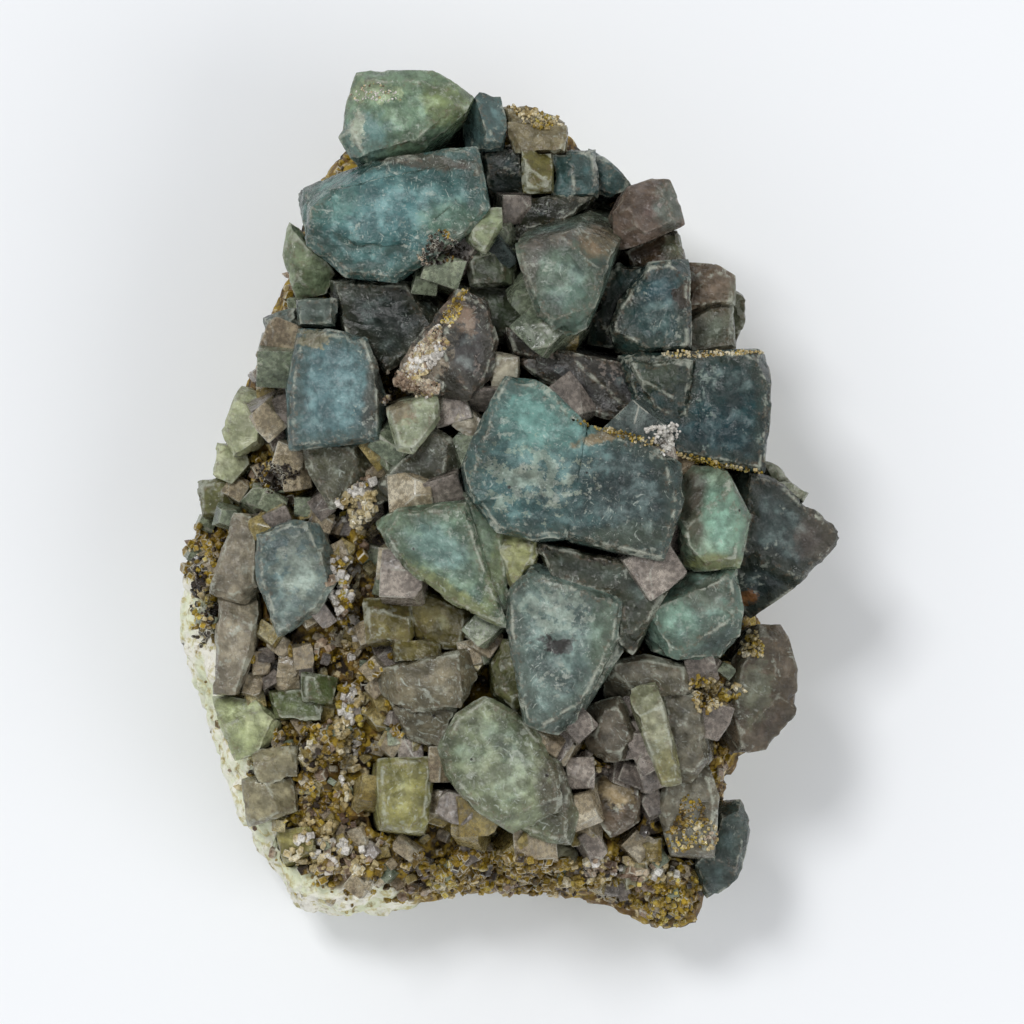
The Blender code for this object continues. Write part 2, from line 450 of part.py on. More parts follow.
def block_solid(block, rng):
    """The convex solid of one block: its face with a worn rim, its sides, its root and its chips."""
    middle_right = sum(corner[0] for corner in block.face) / len(block.face)
    middle_down = sum(corner[1] for corner in block.face) / len(block.face)
    root = block.root if block.root >= 0.0 else ground(middle_right, middle_down) - ROOT_DEPTH
    stray = (rng.uniform(-ROOT_STRAY, ROOT_STRAY), rng.uniform(-ROOT_STRAY, ROOT_STRAY))
    shift = block.shift if block.shift != (0.0, 0.0) else stray
    points = []
    for right, down in block.face:
        out_right = right - middle_right
        out_down = down - middle_down
        reach = math.hypot(out_right, out_down)
        height = block.top + block.lean[0] * out_right + block.lean[1] * out_down
        inner = max(reach - block.rim, 0.0) / reach
        points.append(place(middle_right + out_right * inner, middle_down + out_down * inner, height))
        points.append(place(right, down, height - block.rim))
        points.append(place(middle_right + out_right * block.taper + shift[0],
                            middle_down + out_down * block.taper + shift[1], root))
    bm = hull(points)
    middle = place(middle_right, middle_down, block.top - CHIP_MIDDLE)
    for _ in range(block.chips):
        upper = [vert.co.copy() for vert in bm.verts if vert.co.z > block.top - CHIP_REACH]
        corner = rng.choice(upper)
        direction = (corner - middle).normalized()
        direction += Vector([rng.uniform(-CHIP_WOBBLE, CHIP_WOBBLE) for _ in range(3)])
        direction.normalize()
        spot = corner - direction * rng.uniform(CHIP_SMALLEST, CHIP_LARGEST)
        bm = cut_by_plane(bm, spot, direction)
    return bm


def grown(bm, gap):
    """The same convex solid with its main faces moved out by the gap and its small facets squared off."""
    low = Vector([min(vert.co[axis] for vert in bm.verts) for axis in range(3)])
    high = Vector([max(vert.co[axis] for vert in bm.verts) for axis in range(3)])
    margin = Vector((gap, gap, gap)) * 2.0
    low -= margin
    high += margin
    wide = hull([Vector((x, y, z)) for x in (low.x, high.x) for y in (low.y, high.y)
                 for z in (low.z, high.z)])
    for face in bm.faces:
        if face.calc_area() >= SMALL_FACET:
            wide = cut_by_plane(wide, face.verts[0].co + face.normal * gap, face.normal)
    return wide


def mesh_object(name, bm):
    """Put a bmesh in a new object of that name."""
    mesh = bpy.data.meshes.new(name)
    bm.to_mesh(mesh)
    bm.free()
    piece = bpy.data.objects.new(name, mesh)
    bpy.context.scene.collection.objects.link(piece)
    return piece


def volume(mesh):
    """Volume inside a mesh, in cubic millimetres."""
    bm = bmesh.new()
    bm.from_mesh(mesh)
    inside = bm.calc_volume(signed=True)
    bm.free()
    return inside


def apply_boolean(piece, other, operation):
    """Cut a piece by another object, or join the two, and keep the result as the piece's mesh."""
    before = volume(piece.data)
    tool = volume(other.data)
    least = before * 0.999 if operation == "UNION" else max(before - tool, 0.0) * 0.95
    for solver in ("EXACT", "MANIFOLD"):
        modifier = piece.modifiers.new(operation.lower(), "BOOLEAN")
        modifier.operation = operation
        modifier.solver = solver
        modifier.object = other
        graph = bpy.context.evaluated_depsgraph_get()
        mesh = bpy.data.meshes.new_from_object(piece.evaluated_get(graph))
        piece.modifiers.clear()
        if least <= volume(mesh) <= before + tool:
            old = piece.data
            piece.data = mesh
            bpy.data.meshes.remove(old)
            return
        bpy.data.meshes.remove(mesh)


def keep_largest_body(piece):
    """Drop the small offcuts of a piece and flatten its needless edges."""
    bm = bmesh.new()
    bm.from_mesh(piece.data)
    bmesh.ops.remove_doubles(bm, verts=bm.verts, dist=MERGE)
    bodies = []
    unseen = set(bm.verts)
    while unseen:
        body = {unseen.pop()}
        edge_of_search = list(body)
        while edge_of_search:
            vert = edge_of_search.pop()
            for edge in vert.link_edges:
                other = edge.other_vert(vert)
                if other in unseen:
                    unseen.discard(other)
                    body.add(other)
                    edge_of_search.append(other)
        bodies.append(body)
    bodies.sort(key=box_volume, reverse=True)
    for body in bodies[1:]:
        bmesh.ops.delete(bm, geom=list(body), context="VERTS")
    bmesh.ops.dissolve_limit(bm, angle_limit=FLAT_ANGLE, verts=bm.verts, edges=bm.edges)
    bmesh.ops.triangulate(bm, faces=bm.faces)
    bm.to_mesh(piece.data)
    bm.free()


def box_volume(verts):
    """Volume of the box around some points."""
    spans = [max(vert.co[axis] for vert in verts) - min(vert.co[axis] for vert in verts)
             for axis in range(3)]
    return spans[0] * spans[1] * spans[2]


def paint(piece, colour, roughness):
    """Give a piece its own material."""
    material = bpy.data.materials.new(piece.name + "_finish")
    material.use_nodes = True
    shader = material.node_tree.nodes["Principled BSDF"]
    shader.inputs["Base Color"].default_value = (*colour, 1.0)
    shader.inputs["Roughness"].default_value = roughness
    shader.inputs["Metallic"].default_value = 0.0
    piece.data.materials.clear()
    piece.data.materials.append(material)


def boxes_meet(piece, other):
    """Whether the boxes around two objects touch."""
    for axis in range(3):
        first = [vert.co[axis] for vert in piece.data.vertices]
        second = [vert.co[axis] for vert in other.data.vertices]
        if min(first) > max(second) or min(second) > max(first):
            return False
    return True


def rock_lump():
    """The rock: rings from the flat back up over the rim to the crown, closed at both ends."""
    bm = bmesh.new()
    rings = []
    for share, height in ROCK_WALL:
        ring = []
        for right, down in ROCK_RIM:
            rough = noise.noise(Vector((right * 0.4, down * 0.4, height * 0.35))) * 0.035
            reach = share if share in (1.0, ROCK_WALL[0][0]) else min(share + rough, 0.995)
            lift = height if height == 0.0 else height + rough * 30.0
            spot = place(ROCK_MIDDLE[0] + (right - ROCK_MIDDLE[0]) * reach,
                         ROCK_MIDDLE[1] + (down - ROCK_MIDDLE[1]) * reach, lift)
            ring.append(bm.verts.new(spot))
        rings.append(ring)
    for share in ROCK_TOP:
        ring = []
        for right, down in ROCK_RIM:
            spot_right = ROCK_MIDDLE[0] + (right - ROCK_MIDDLE[0]) * share
            spot_down = ROCK_MIDDLE[1] + (down - ROCK_MIDDLE[1]) * share
            ring.append(bm.verts.new(place(spot_right, spot_down, ground(spot_right, spot_down))))
        rings.append(ring)
    count = len(ROCK_RIM)
    for lower, upper in zip(rings, rings[1:]):
        for index in range(count):
            after = (index + 1) % count
            bm.faces.new((lower[index], lower[after], upper[after], upper[index]))
    bm.faces.new(rings[0])
    crown = bm.verts.new(place(*ROCK_MIDDLE, ground(*ROCK_MIDDLE)))
    for index in range(count):
        bm.faces.new((rings[-1][index], rings[-1][(index + 1) % count], crown))
    bmesh.ops.recalc_face_normals(bm, faces=bm.faces)
    return mesh_object("matrix", bm)


def lump_solid(spot, size, rng):
    """One small cube of druse, turned at random."""
    turn = Vector([rng.uniform(-1.0, 1.0) for _ in range(3)]).normalized()
    rotation = turn.to_track_quat("Z", "Y")
    corners = [Vector((x, y, z)) * size for x in (-1, 1) for y in (-1, 1) for z in (-1, 1)]
    return [spot + rotation @ corner for corner in corners]


def druse_lumps(rng, crystals):
    """The lumps of druse that stand on the rock between the crystals, clear of each other."""
    boxes = [crystal.data for crystal in crystals]
    bounds = [(min(v.co.x for v in mesh.vertices), max(v.co.x for v in mesh.vertices),
               min(v.co.y for v in mesh.vertices), max(v.co.y for v in mesh.vertices)) for mesh in boxes]
    taken = []
    for middle, half, wanted in DRUSE_FIELDS:
        made = 0
        for _ in range(wanted * LUMP_TRIES):
            if made == wanted:
                break
            right = middle[0] + rng.uniform(-half[0], half[0])
            down = middle[1] + rng.uniform(-half[1], half[1])
            if rim_share(right, down) > DRUSE_LIMIT:
                continue
            size = rng.uniform(LUMP_SMALLEST, LUMP_LARGEST)
            spot = place(right, down, ground(right, down) + size * LUMP_LIFT)
            crowded = any((spot - other).length < LUMP_SPACING * (size + other_size)
                          for other, other_size in taken)
            covered = any(low_x - size < spot.x < high_x + size and low_y - size < spot.y < high_y + size
                          for low_x, high_x, low_y, high_y in bounds)
            if crowded or covered:
                continue
            taken.append((spot, size))
            made += 1
    lumps = []
    for index, (spot, size) in enumerate(taken):
        lumps.append(mesh_object(f"lump_{index}", hull(lump_solid(spot, size, rng))))
    return lumps


def in_metres(piece):
    """Scale a finished piece from millimetres to metres."""
    piece.data.transform(Matrix.Scale(MM, 4))
    piece.data.update()


def remove(piece):
    """Take an object and its mesh out of the file."""
    mesh = piece.data
    bpy.data.objects.remove(piece)
    bpy.data.meshes.remove(mesh)


def build():
    """Build every crystal, cut each back by those in front of it, and set them all in the rock."""
    for old in list(bpy.data.objects):
        bpy.data.objects.remove(old)
    rng = random.Random(SEED)
    pieces = []
    cutters = []
    for crystal in CRYSTALS:
        solids = [block_solid(block, rng) for block in crystal.blocks]
        grown_blocks = [mesh_object(f"{crystal.name}_pocket_{index}", grown(solid, PIECE_GAP))
                        for index, solid in enumerate(solids)]
        piece = mesh_object(crystal.name, solids[0])
        for solid in solids[1:]:
            extra = mesh_object("extra_block", solid)
            apply_boolean(piece, extra, "UNION")
            remove(extra)
        for cutter in cutters:
            if boxes_meet(piece, cutter):
                apply_boolean(piece, cutter, "DIFFERENCE")
        keep_largest_body(piece)
        paint(piece, crystal.colour, 0.3)
        pieces.append(piece)
        cutters.extend(grown_blocks)
    rock = rock_lump()
    small = [mesh_object("small_crystal", block_solid(block, rng)) for block in ROCK_BLOCKS]
    for lump in small + druse_lumps(rng, pieces + small):
        apply_boolean(rock, lump, "UNION")
        remove(lump)
    for cutter in cutters:
        apply_boolean(rock, cutter, "DIFFERENCE")
        remove(cutter)
    keep_largest_body(rock)
    paint(rock, ROCK_BROWN, 0.8)
    for piece in [*pieces, rock]:
        in_metres(piece)


build()
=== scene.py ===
"""Looks of the fluorite specimen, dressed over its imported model.

Every crystal gets a worn skin in place of its faceted solid, the rock gets a rough one,
and fields of small grown grains cover the rock and the seams between the crystals.
Tables are in millimetres, right of and below the upper left corner of the square that
holds the specimen, as in the solids. Everything else is in the frame's metres.
"""
import logging
import math
from dataclasses import dataclass, field
from enum import Enum
from itertools import product

import bmesh
import bpy
import numpy as np
from mathutils import Matrix, Vector
from mathutils.bvhtree import BVHTree
from mathutils.kdtree import KDTree


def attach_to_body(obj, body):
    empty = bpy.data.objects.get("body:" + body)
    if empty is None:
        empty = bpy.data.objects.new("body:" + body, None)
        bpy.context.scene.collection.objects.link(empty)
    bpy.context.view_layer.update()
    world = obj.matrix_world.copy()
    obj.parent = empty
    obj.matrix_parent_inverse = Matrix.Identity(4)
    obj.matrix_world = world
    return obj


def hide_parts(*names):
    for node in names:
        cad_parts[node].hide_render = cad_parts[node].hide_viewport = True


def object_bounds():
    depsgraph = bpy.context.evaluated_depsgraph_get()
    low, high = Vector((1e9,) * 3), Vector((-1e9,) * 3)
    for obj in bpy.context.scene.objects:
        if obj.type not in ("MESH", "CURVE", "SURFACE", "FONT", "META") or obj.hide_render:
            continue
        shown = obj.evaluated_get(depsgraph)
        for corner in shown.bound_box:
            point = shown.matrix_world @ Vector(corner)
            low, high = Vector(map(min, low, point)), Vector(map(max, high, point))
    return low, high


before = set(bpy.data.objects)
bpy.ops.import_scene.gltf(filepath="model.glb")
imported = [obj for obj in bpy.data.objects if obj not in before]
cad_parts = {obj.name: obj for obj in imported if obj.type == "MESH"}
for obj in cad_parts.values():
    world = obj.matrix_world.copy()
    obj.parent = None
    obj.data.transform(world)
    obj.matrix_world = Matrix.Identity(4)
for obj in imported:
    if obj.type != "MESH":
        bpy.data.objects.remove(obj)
CAD_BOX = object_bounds()

MM = 0.001
MIDDLE_RIGHT = 50.85
MIDDLE_DOWN = 50.25
SEED = 20

LOG = logging.getLogger("fluorite")


def place(right: float, down: float, height: float = 0.0) -> tuple[float, float, float]:
    """Turn a spot of the square into the frame, both in millimetres.

    Args:
        right: Millimetres right of the square's left side.
        down: Millimetres below the square's top side.
        height: Millimetres above the surface that the specimen lies on.

    Returns:
        The spot in the frame, in millimetres.
    """
    return (right - MIDDLE_RIGHT, MIDDLE_DOWN - down, height)


def tint(code: str) -> tuple[float, float, float, float]:
    """Read a six-digit colour code as linear light.

    Args:
        code: Red, green and blue as pairs of hexadecimal digits.

    Returns:
        Linear red, green and blue, and an alpha of one.
    """
    levels = [int(code[at:at + 2], 16) / 255.0 for at in (0, 2, 4)]
    linear = [v / 12.92 if v <= 0.04045 else ((v + 0.055) / 1.055) ** 2.4 for v in levels]
    return (linear[0], linear[1], linear[2], 1.0)


# Crystals come out a little duller, darker and greener than the codes of their finishes
CAST = (0.90, 0.87, 0.73)
CONTRAST = 1.45
DULLING = 0.14


def stone_tint(code: str) -> tuple[float, float, float, float]:
    """Read a crystal's colour code as linear light with the cast that the crystals share."""
    levels = [level ** CONTRAST for level in tint(code)[:3]]
    grey = sum(levels) / 3.0
    red, green, blue = ((level + (grey - level) * DULLING) * cast for level, cast in zip(levels, CAST))
    return (red, green, blue, 1.0)


def ease(low: float, high: float, values: np.ndarray) -> np.ndarray:
    """Rise smoothly from 0 at low to 1 at high.

    Args:
        low: Value where the rise starts.
        high: Value where it ends, which may be below low for a fall.
        values: The values to look up.

    Returns:
        The smooth shares, between 0 and 1.
    """
    share = np.clip((values - low) / (high - low), 0.0, 1.0)
    return share * share * (3.0 - 2.0 * share)


class Slot(Enum):
    """The finishes of the record that a piece can take."""

    ROCK = "quartz_rock"
    TEAL = "teal_fluorite"
    SAGE = "sage_fluorite"
    BLUE_GREY = "blue_grey_fluorite"
    SMOKE = "smoke_fluorite"
    PALE_GREEN = "pale_green_fluorite"
    SLATE = "slate_fluorite"
    DEEP_TEAL = "deep_teal_fluorite"
    MAUVE = "mauve_fluorite"
    OLIVE = "olive_fluorite"
    CITRON = "citron_fluorite"


class Grit:
    """Repeatable smooth and cellular noise for whole arrays of points."""

    def __init__(self, seed: int) -> None:
        """Draw the tables that the noise reads.

        Args:
            seed: Seed of the draw.
        """
        draw = np.random.default_rng(seed)
        self.order = draw.permutation(256)
        self.values = draw.uniform(-1.0, 1.0, 256)
        self.offsets = draw.uniform(0.15, 0.85, (256, 3))

    def pick(self, cell: np.ndarray) -> np.ndarray:
        """Give each lattice cell its place in the tables.

        Args:
            cell: Whole-number cells, one row each.

        Returns:
            One table index for each row.
        """
        first = self.order[cell[:, 0] & 255]
        second = self.order[(first + cell[:, 1]) & 255]
        return self.order[(second + cell[:, 2]) & 255]

    def smooth(self, points: np.ndarray, size: float) -> np.ndarray:
        """Rolling noise between -1 and 1 with bumps of about the given size.

        Args:
            points: Points in millimetres, one row each.
            size: Width of a bump in millimetres.

        Returns:
            One value for each point.
        """
        scaled = points / size
        cell = np.floor(scaled).astype(int)
        part = scaled - cell
        part = part * part * (3.0 - 2.0 * part)
        total = np.zeros(len(points))
        for corner in product((0, 1), repeat=3):
            weight = np.prod(np.where(corner, part, 1.0 - part), axis=1)
            total += weight * self.values[self.pick(cell + np.array(corner))]
        return total

    def layered(self, points: np.ndarray, size: float, layers: int) -> np.ndarray:
        """Rolling noise with finer layers, each half as large and half as strong.

        Args:
            points: Points in millimetres, one row each.
            size: Width of the largest bumps in millimetres.
            layers: How many layers to add up.

        Returns:
            One value for each point, mostly between -1 and 1.
        """
        total = np.zeros(len(points))
        for layer in range(layers):
            total += self.smooth(points + 17.3 * layer, size / 2 ** layer) / 2 ** layer
        return total

    def cells(self, points: np.ndarray, size: float) -> tuple[np.ndarray, np.ndarray]:
        """Break space into irregular chunks.

        Args:
            points: Points in millimetres, one row each.
            size: Width of a chunk in millimetres.

        Returns:
            The distance to the chunk's border as a share of its size, and a value
            between -1 and 1 that is the same all over the chunk.
        """
        scaled = points / size
        cell = np.floor(scaled).astype(int)
        nearest = np.full(len(points), 9.0)
        second = np.full(len(points), 9.0)
        value = np.zeros(len(points))
        for corner in product((-1, 0, 1), repeat=3):
            there = cell + np.array(corner)
            index = self.pick(there)
            gap = np.linalg.norm(there + self.offsets[index] - scaled, axis=1)
            closer = gap < nearest
            second = np.where(closer, nearest, np.minimum(second, gap))
            value = np.where(closer, self.values[index], value)
            nearest = np.where(closer, gap, nearest)
        return (second - nearest, value)


GRIT = Grit(SEED)


class Bench:
    """A node tree being wired, with short calls for the nodes this object uses."""

    def __init__(self, tree: bpy.types.NodeTree) -> None:
        """Work on a node tree.

        Args:
            tree: The tree of a material or a shader node group.
        """
        self.tree = tree

    def add(self, kind: str, settings: dict | None = None, inputs: dict | None = None) -> bpy.types.Node:
        """Add a node.

        Args:
            kind: Blender's name of the node type.
            settings: Values of the node's own properties.
            inputs: Sockets or values by input name or number.

        Returns:
            The new node.
        """
        node = self.tree.nodes.new(kind)
        for name, value in (settings or {}).items():
            setattr(node, name, value)
        for key, value in (inputs or {}).items():
            self.feed(node.inputs[key], value)
        return node

    def feed(self, socket: bpy.types.NodeSocket, value: object) -> None:
        """Link a socket into an input, or set the input's own value."""
        if isinstance(value, bpy.types.NodeSocket):
            self.tree.links.new(value, socket)
        else:
            socket.default_value = value

    def maths(self, operation: str, first: object, second: object) -> object:
        """Add a Math node and give its result."""
        return self.add("ShaderNodeMath", {"operation": operation}, {0: first, 1: second}).outputs[0]

    def plus(self, first: object, second: object) -> object:
        """Add two values."""
        return self.maths("ADD", first, second)

    def minus(self, first: object, second: object) -> object:
        """Take the second value from the first."""
        return self.maths("SUBTRACT", first, second)

    def times(self, first: object, second: object) -> object:
        """Multiply two values."""
        return self.maths("MULTIPLY", first, second)

    def vector(self, operation: str, first: object, second: object) -> object:
        """Add a Vector Math node and give its vector result."""
        return self.add("ShaderNodeVectorMath", {"operation": operation}, {0: first, 1: second}).outputs[0]

    def mix(self, share: object, first: object, second: object, blend: str = "MIX") -> object:
        """Mix two colours and give the result."""
        settings = {"data_type": "RGBA", "blend_type": blend, "clamp_factor": True}
        return self.add("ShaderNodeMix", settings, {0: share, 6: first, 7: second}).outputs[2]

    def rise(self, value: object, low: object, high: object, start: object = 0.0,
             end: object = 1.0) -> object:
        """Map a value smoothly from one range to another."""
        inputs = {0: value, 1: low, 2: high, 3: start, 4: end}
        return self.add("ShaderNodeMapRange", {"interpolation_type": "SMOOTHSTEP"}, inputs).outputs[0]

    def noise(self, spot: object, scale: object, detail: float = 3.0, rough: float = 0.55) -> object:
        """Add a noise texture and give its value."""
        inputs = {"Vector": spot, "Scale": scale, "Detail": detail, "Roughness": rough}
        return self.add("ShaderNodeTexNoise", {}, inputs).outputs[0]

    def voronoi(self, spot: object, scale: object) -> bpy.types.Node:
        """Add a Voronoi texture and give its node."""
        return self.add("ShaderNodeTexVoronoi", {}, {"Vector": spot, "Scale": scale})

    def turned(self, spot: object, turn: object) -> object:
        """Turn a place about the vertical and give the result."""
        return self.add("ShaderNodeVectorRotate", {"rotation_type": "Z_AXIS"},
                        {"Vector": spot, "Angle": turn}).outputs[0]

    def attribute(self, name: str) -> object:
        """Give a value that the mesh holds for each point or face."""
        return self.add("ShaderNodeAttribute", {"attribute_name": name}).outputs["Fac"]

    def group(self, tree: bpy.types.NodeTree, spot: object, inputs: dict) -> object:
        """Place a shared group and give its only output."""
        return self.add("ShaderNodeGroup", {"node_tree": tree}, {"Place": spot} | inputs).outputs[0]

    def cover(self, colour: object, share: object, code: str) -> object:
        """Lay a colour code over a colour and give the result."""
        return self.mix(share, colour, tint(code))

    def surface(self, colour: object, dull: object, height: object, depth: float, strength: float,
                ior: float, clear: float = 0.0) -> None:
        """Wire the material's one bumped surface to its output.

        Args:
            colour: Socket of the colour.
            dull: Socket of the roughness.
            height: Socket of the relief, from about 0 to 1.
            depth: Depth of the relief in millimetres.
            strength: Strength of the relief.
            ior: Index of refraction.
            clear: Share of the light that passes through.
        """
        inputs = {"Strength": strength, "Distance": depth * MM, "Height": height}
        bump = self.add("ShaderNodeBump", {}, inputs)
        shader = self.add("ShaderNodeBsdfPrincipled", {}, {
            "Base Color": colour, "Roughness": dull, "Metallic": 0.0, "IOR": ior,
            "Transmission Weight": clear, "Normal": bump.outputs[0],
        })
        self.add("ShaderNodeOutputMaterial", {}, {"Surface": shader.outputs[0]})


def new_material(name: str) -> tuple[bpy.types.Material, Bench, object]:
    """Make an empty material.

    Args:
        name: Name of the material.

    Returns:
        The material, its bench, and the place on the surface in millimetres of the frame.
    """
    material = bpy.data.materials.new(name)
    material.use_nodes = True
    material.node_tree.nodes.clear()
    bench = Bench(material.node_tree)
    coordinates = bench.add("ShaderNodeTexCoord").outputs["Object"]
    return (material, bench, bench.vector("MULTIPLY", coordinates, (1.0 / MM, 1.0 / MM, 1.0 / MM)))


def new_group(name: str, inputs: dict[str, float | tuple], output: str = "Mask") -> tuple:
    """Make an empty shader node group whose first input is the place in millimetres.

    Args:
        name: Name of the group.
        inputs: Default values of the other inputs by name; a triple makes a vector socket.
        output: Name of the value that it puts out.

    Returns:
        The group's tree, its bench, the sockets that it is given and the socket of its output.
    """
    tree = bpy.data.node_groups.new(name, "ShaderNodeTree")
    for label, value in ({"Place": (0.0, 0.0, 0.0)} | inputs).items():
        kind = "NodeSocketVector" if isinstance(value, tuple) else "NodeSocketFloat"
        socket = tree.interface.new_socket(label, in_out="INPUT", socket_type=kind)
        socket.default_value = value
    tree.interface.new_socket(output, in_out="OUTPUT", socket_type="NodeSocketFloat")
    bench = Bench(tree)
    return (tree, bench, bench.add("NodeGroupInput").outputs, bench.add("NodeGroupOutput").inputs[output])


class Effects:
    """The shader node groups that the finishes share, each built once."""

    def __init__(self) -> None:
        """Build every group."""
        self.spot = self.make_spot()
        self.flecks = self.make_flecks()
        self.cloud = self.make_cloud()
        self.specks = self.make_specks()
        self.cleavage = self.make_cleavage()
        self.wear = self.make_wear()

    @staticmethod
    def make_spot() -> bpy.types.NodeTree:
        """A ragged oval patch, seen from the crystal side."""
        inputs = {"Middle": (0.0, 0.0, 0.0), "Reach": (1.0, 1.0, 1.0),
                  "Turn": 0.0, "Ragged": 0.4, "Soft": 0.3}
        tree, bench, given, end = new_group("Ragged spot", inputs)
        away = bench.vector("SUBTRACT", given["Place"], given["Middle"])
        flat = bench.vector("MULTIPLY", bench.turned(away, given["Turn"]), (1.0, 1.0, 0.0))
        shares = bench.vector("DIVIDE", flat, given["Reach"])
        gap = bench.add("ShaderNodeVectorMath", {"operation": "LENGTH"}, {0: shares}).outputs[1]
        stray = bench.minus(bench.noise(given["Place"], 0.9, 4.0, 0.65), 0.5)
        stray = bench.times(stray, bench.times(given["Ragged"], 4.0))
        gap = bench.plus(gap, stray)
        inner = bench.minus(1.0, given["Soft"])
        outer = bench.plus(1.0, given["Soft"])
        bench.feed(end, bench.rise(gap, inner, outer, 1.0, 0.0))
        return tree

    @staticmethod
    def make_flecks() -> bpy.types.NodeTree:
        """Short bright dashes in clusters, as broken cleavage planes inside a crystal show."""
        inputs = {"Turn": 0.0, "Size": 1.0, "Share": 0.5, "Stretch": 5.0}
        tree, bench, given, end = new_group("Flecks", inputs)
        spot = given["Place"]
        warp = bench.add("ShaderNodeTexNoise", {}, {"Vector": spot, "Scale": 0.4, "Detail": 1.0}).outputs[1]
        warp = bench.vector("MULTIPLY", bench.vector("SUBTRACT", warp, (0.5, 0.5, 0.5)), (3.0, 3.0, 3.0))
        turned = bench.turned(bench.vector("ADD", spot, warp), given["Turn"])
        parts = bench.add("ShaderNodeSeparateXYZ", {}, {0: turned})
        along = bench.maths("DIVIDE", parts.outputs[0], given["Stretch"])
        drawn = bench.add("ShaderNodeCombineXYZ", {}, {0: along, 1: parts.outputs[1], 2: parts.outputs[2]})
        scale = bench.maths("DIVIDE", 2.2, given["Size"])
        value = bench.noise(drawn.outputs[0], scale, 3.0, 0.62)
        dash = bench.rise(value, 0.60, 0.70)
        limit = bench.minus(1.0, given["Share"])
        kept = bench.noise(bench.vector("ADD", spot, (7.0, 3.0, 5.0)), 0.36, 3.0, 0.6)
        kept = bench.rise(kept, bench.minus(limit, 0.06), bench.plus(limit, 0.08))
        bench.feed(end, bench.times(dash, kept))
        return tree

    @staticmethod
    def make_cloud() -> bpy.types.NodeTree:
        """Soft milky clouding inside a crystal."""
        inputs = {"Size": 4.0, "Bias": 0.5, "Edge": 0.15}
        tree, bench, given, end = new_group("Clouding", inputs)
        scale = bench.maths("DIVIDE", 1.0, given["Size"])
        value = bench.noise(given["Place"], scale, 4.0, 0.6)
        low = bench.minus(given["Bias"], given["Edge"])
        high = bench.plus(given["Bias"], given["Edge"])
        bench.feed(end, bench.rise(value, low, high))
        return tree

    @staticmethod
    def make_specks() -> bpy.types.NodeTree:
        """Sparse small dots, each a different size."""
        inputs = {"Spacing": 1.6, "Radius": 0.12, "Share": 0.3}
        tree, bench, given, end = new_group("Specks", inputs)
        cells = bench.voronoi(given["Place"], bench.maths("DIVIDE", 1.0, given["Spacing"]))
        draw = bench.add("ShaderNodeSeparateColor", {}, {0: cells.outputs["Color"]})
        kept = bench.maths("LESS_THAN", draw.outputs[0], given["Share"])
        reach = bench.times(given["Radius"], bench.plus(0.4, draw.outputs[1]))
        inside = bench.rise(cells.outputs["Distance"], bench.times(reach, 0.6), reach, 1.0, 0.0)
        bench.feed(end, bench.times(kept, inside))
        return tree

    @staticmethod
    def make_cleavage() -> bpy.types.NodeTree:
        """Height of the low steps, ripples and nicks of a broken fluorite face."""
        inputs = {"Turn": 0.0, "Step": 2.2}
        tree, bench, given, end = new_group("Cleavage relief", inputs, "Height")
        spot = given["Place"]
        turned = bench.turned(spot, given["Turn"])
        warp = bench.add("ShaderNodeTexNoise", {}, {"Vector": spot, "Scale": 0.8, "Detail": 0.0}).outputs[1]
        drawn = bench.vector("ADD", bench.vector("MULTIPLY", turned, (0.35, 1.0, 0.6)), warp)
        scale = bench.maths("DIVIDE", 1.0, given["Step"])
        height = bench.times(bench.noise(spot, 2.6, 3.0, 0.62), 0.5)
        for share, tilt, rise in ((1.0, 1.1, 0.35), (2.7, 1.9, 0.12)):
            plate = bench.voronoi(drawn, bench.times(scale, share))
            draw = bench.vector("SUBTRACT", plate.outputs["Color"], (0.5, 0.5, 0.5))
            local = bench.vector("SUBTRACT", drawn, plate.outputs["Position"])
            slope = bench.add("ShaderNodeVectorMath", {"operation": "DOT_PRODUCT"}, {0: draw, 1: local})
            height = bench.plus(height, bench.times(slope.outputs[1], tilt))
            value = bench.add("ShaderNodeSeparateColor", {}, {0: plate.outputs["Color"]}).outputs[0]
            height = bench.plus(height, bench.times(value, rise))
        bench.feed(end, height)
        return tree

    @staticmethod
    def make_wear() -> bpy.types.NodeTree:
        """Pale bruising along the chipped edges of a crystal."""
        inputs = {"Rim": 0.0, "Amount": 0.6}
        tree, bench, given, end = new_group("Edge wear", inputs)
        value = bench.noise(given["Place"], 1.7, 4.0, 0.7)
        reach = bench.plus(value, bench.times(given["Rim"], 0.46))
        mask = bench.rise(reach, 0.90, 1.08)
        bench.feed(end, bench.times(mask, given["Amount"]))
        return tree


@dataclass(frozen=True)
class Clouds:
    """Soft-edged clouds of one width in millimetres, as a mask over a surface."""

    size: float
    bias: float
    edge: float

    def mask(self, bench: Bench, effects: Effects, spot: object) -> object:
        """Place the shared group with these values."""
        return bench.group(effects.cloud, spot, {"Size": self.size, "Bias": self.bias, "Edge": self.edge})


BROAD_CLOUDS = Clouds(5.0, 0.50, 0.12)
DEEP_CLOUDS = Clouds(2.8, 0.56, 0.10)
FINE_CLOUDS = Clouds(1.1, 0.50, 0.25)
MILKY_CLOUDS = Clouds(2.4, 0.53, 0.11)
TORN_FLAKES = Clouds(0.7, 0.57, 0.03)
TORN_FIELDS = Clouds(3.0, 0.58, 0.05)
RUST_CLOUDS = Clouds(2.6, 0.50, 0.08)
CREAM_CLOUDS = Clouds(1.1, 0.60, 0.05)
BROWN_CLOUDS = Clouds(1.7, 0.56, 0.06)
GREEN_CLOUDS = Clouds(3.2, 0.50, 0.12)
STRAW_CLOUDS = Clouds(0.9, 0.58, 0.08)
TAN_CLOUDS = Clouds(2.0, 0.63, 0.06)


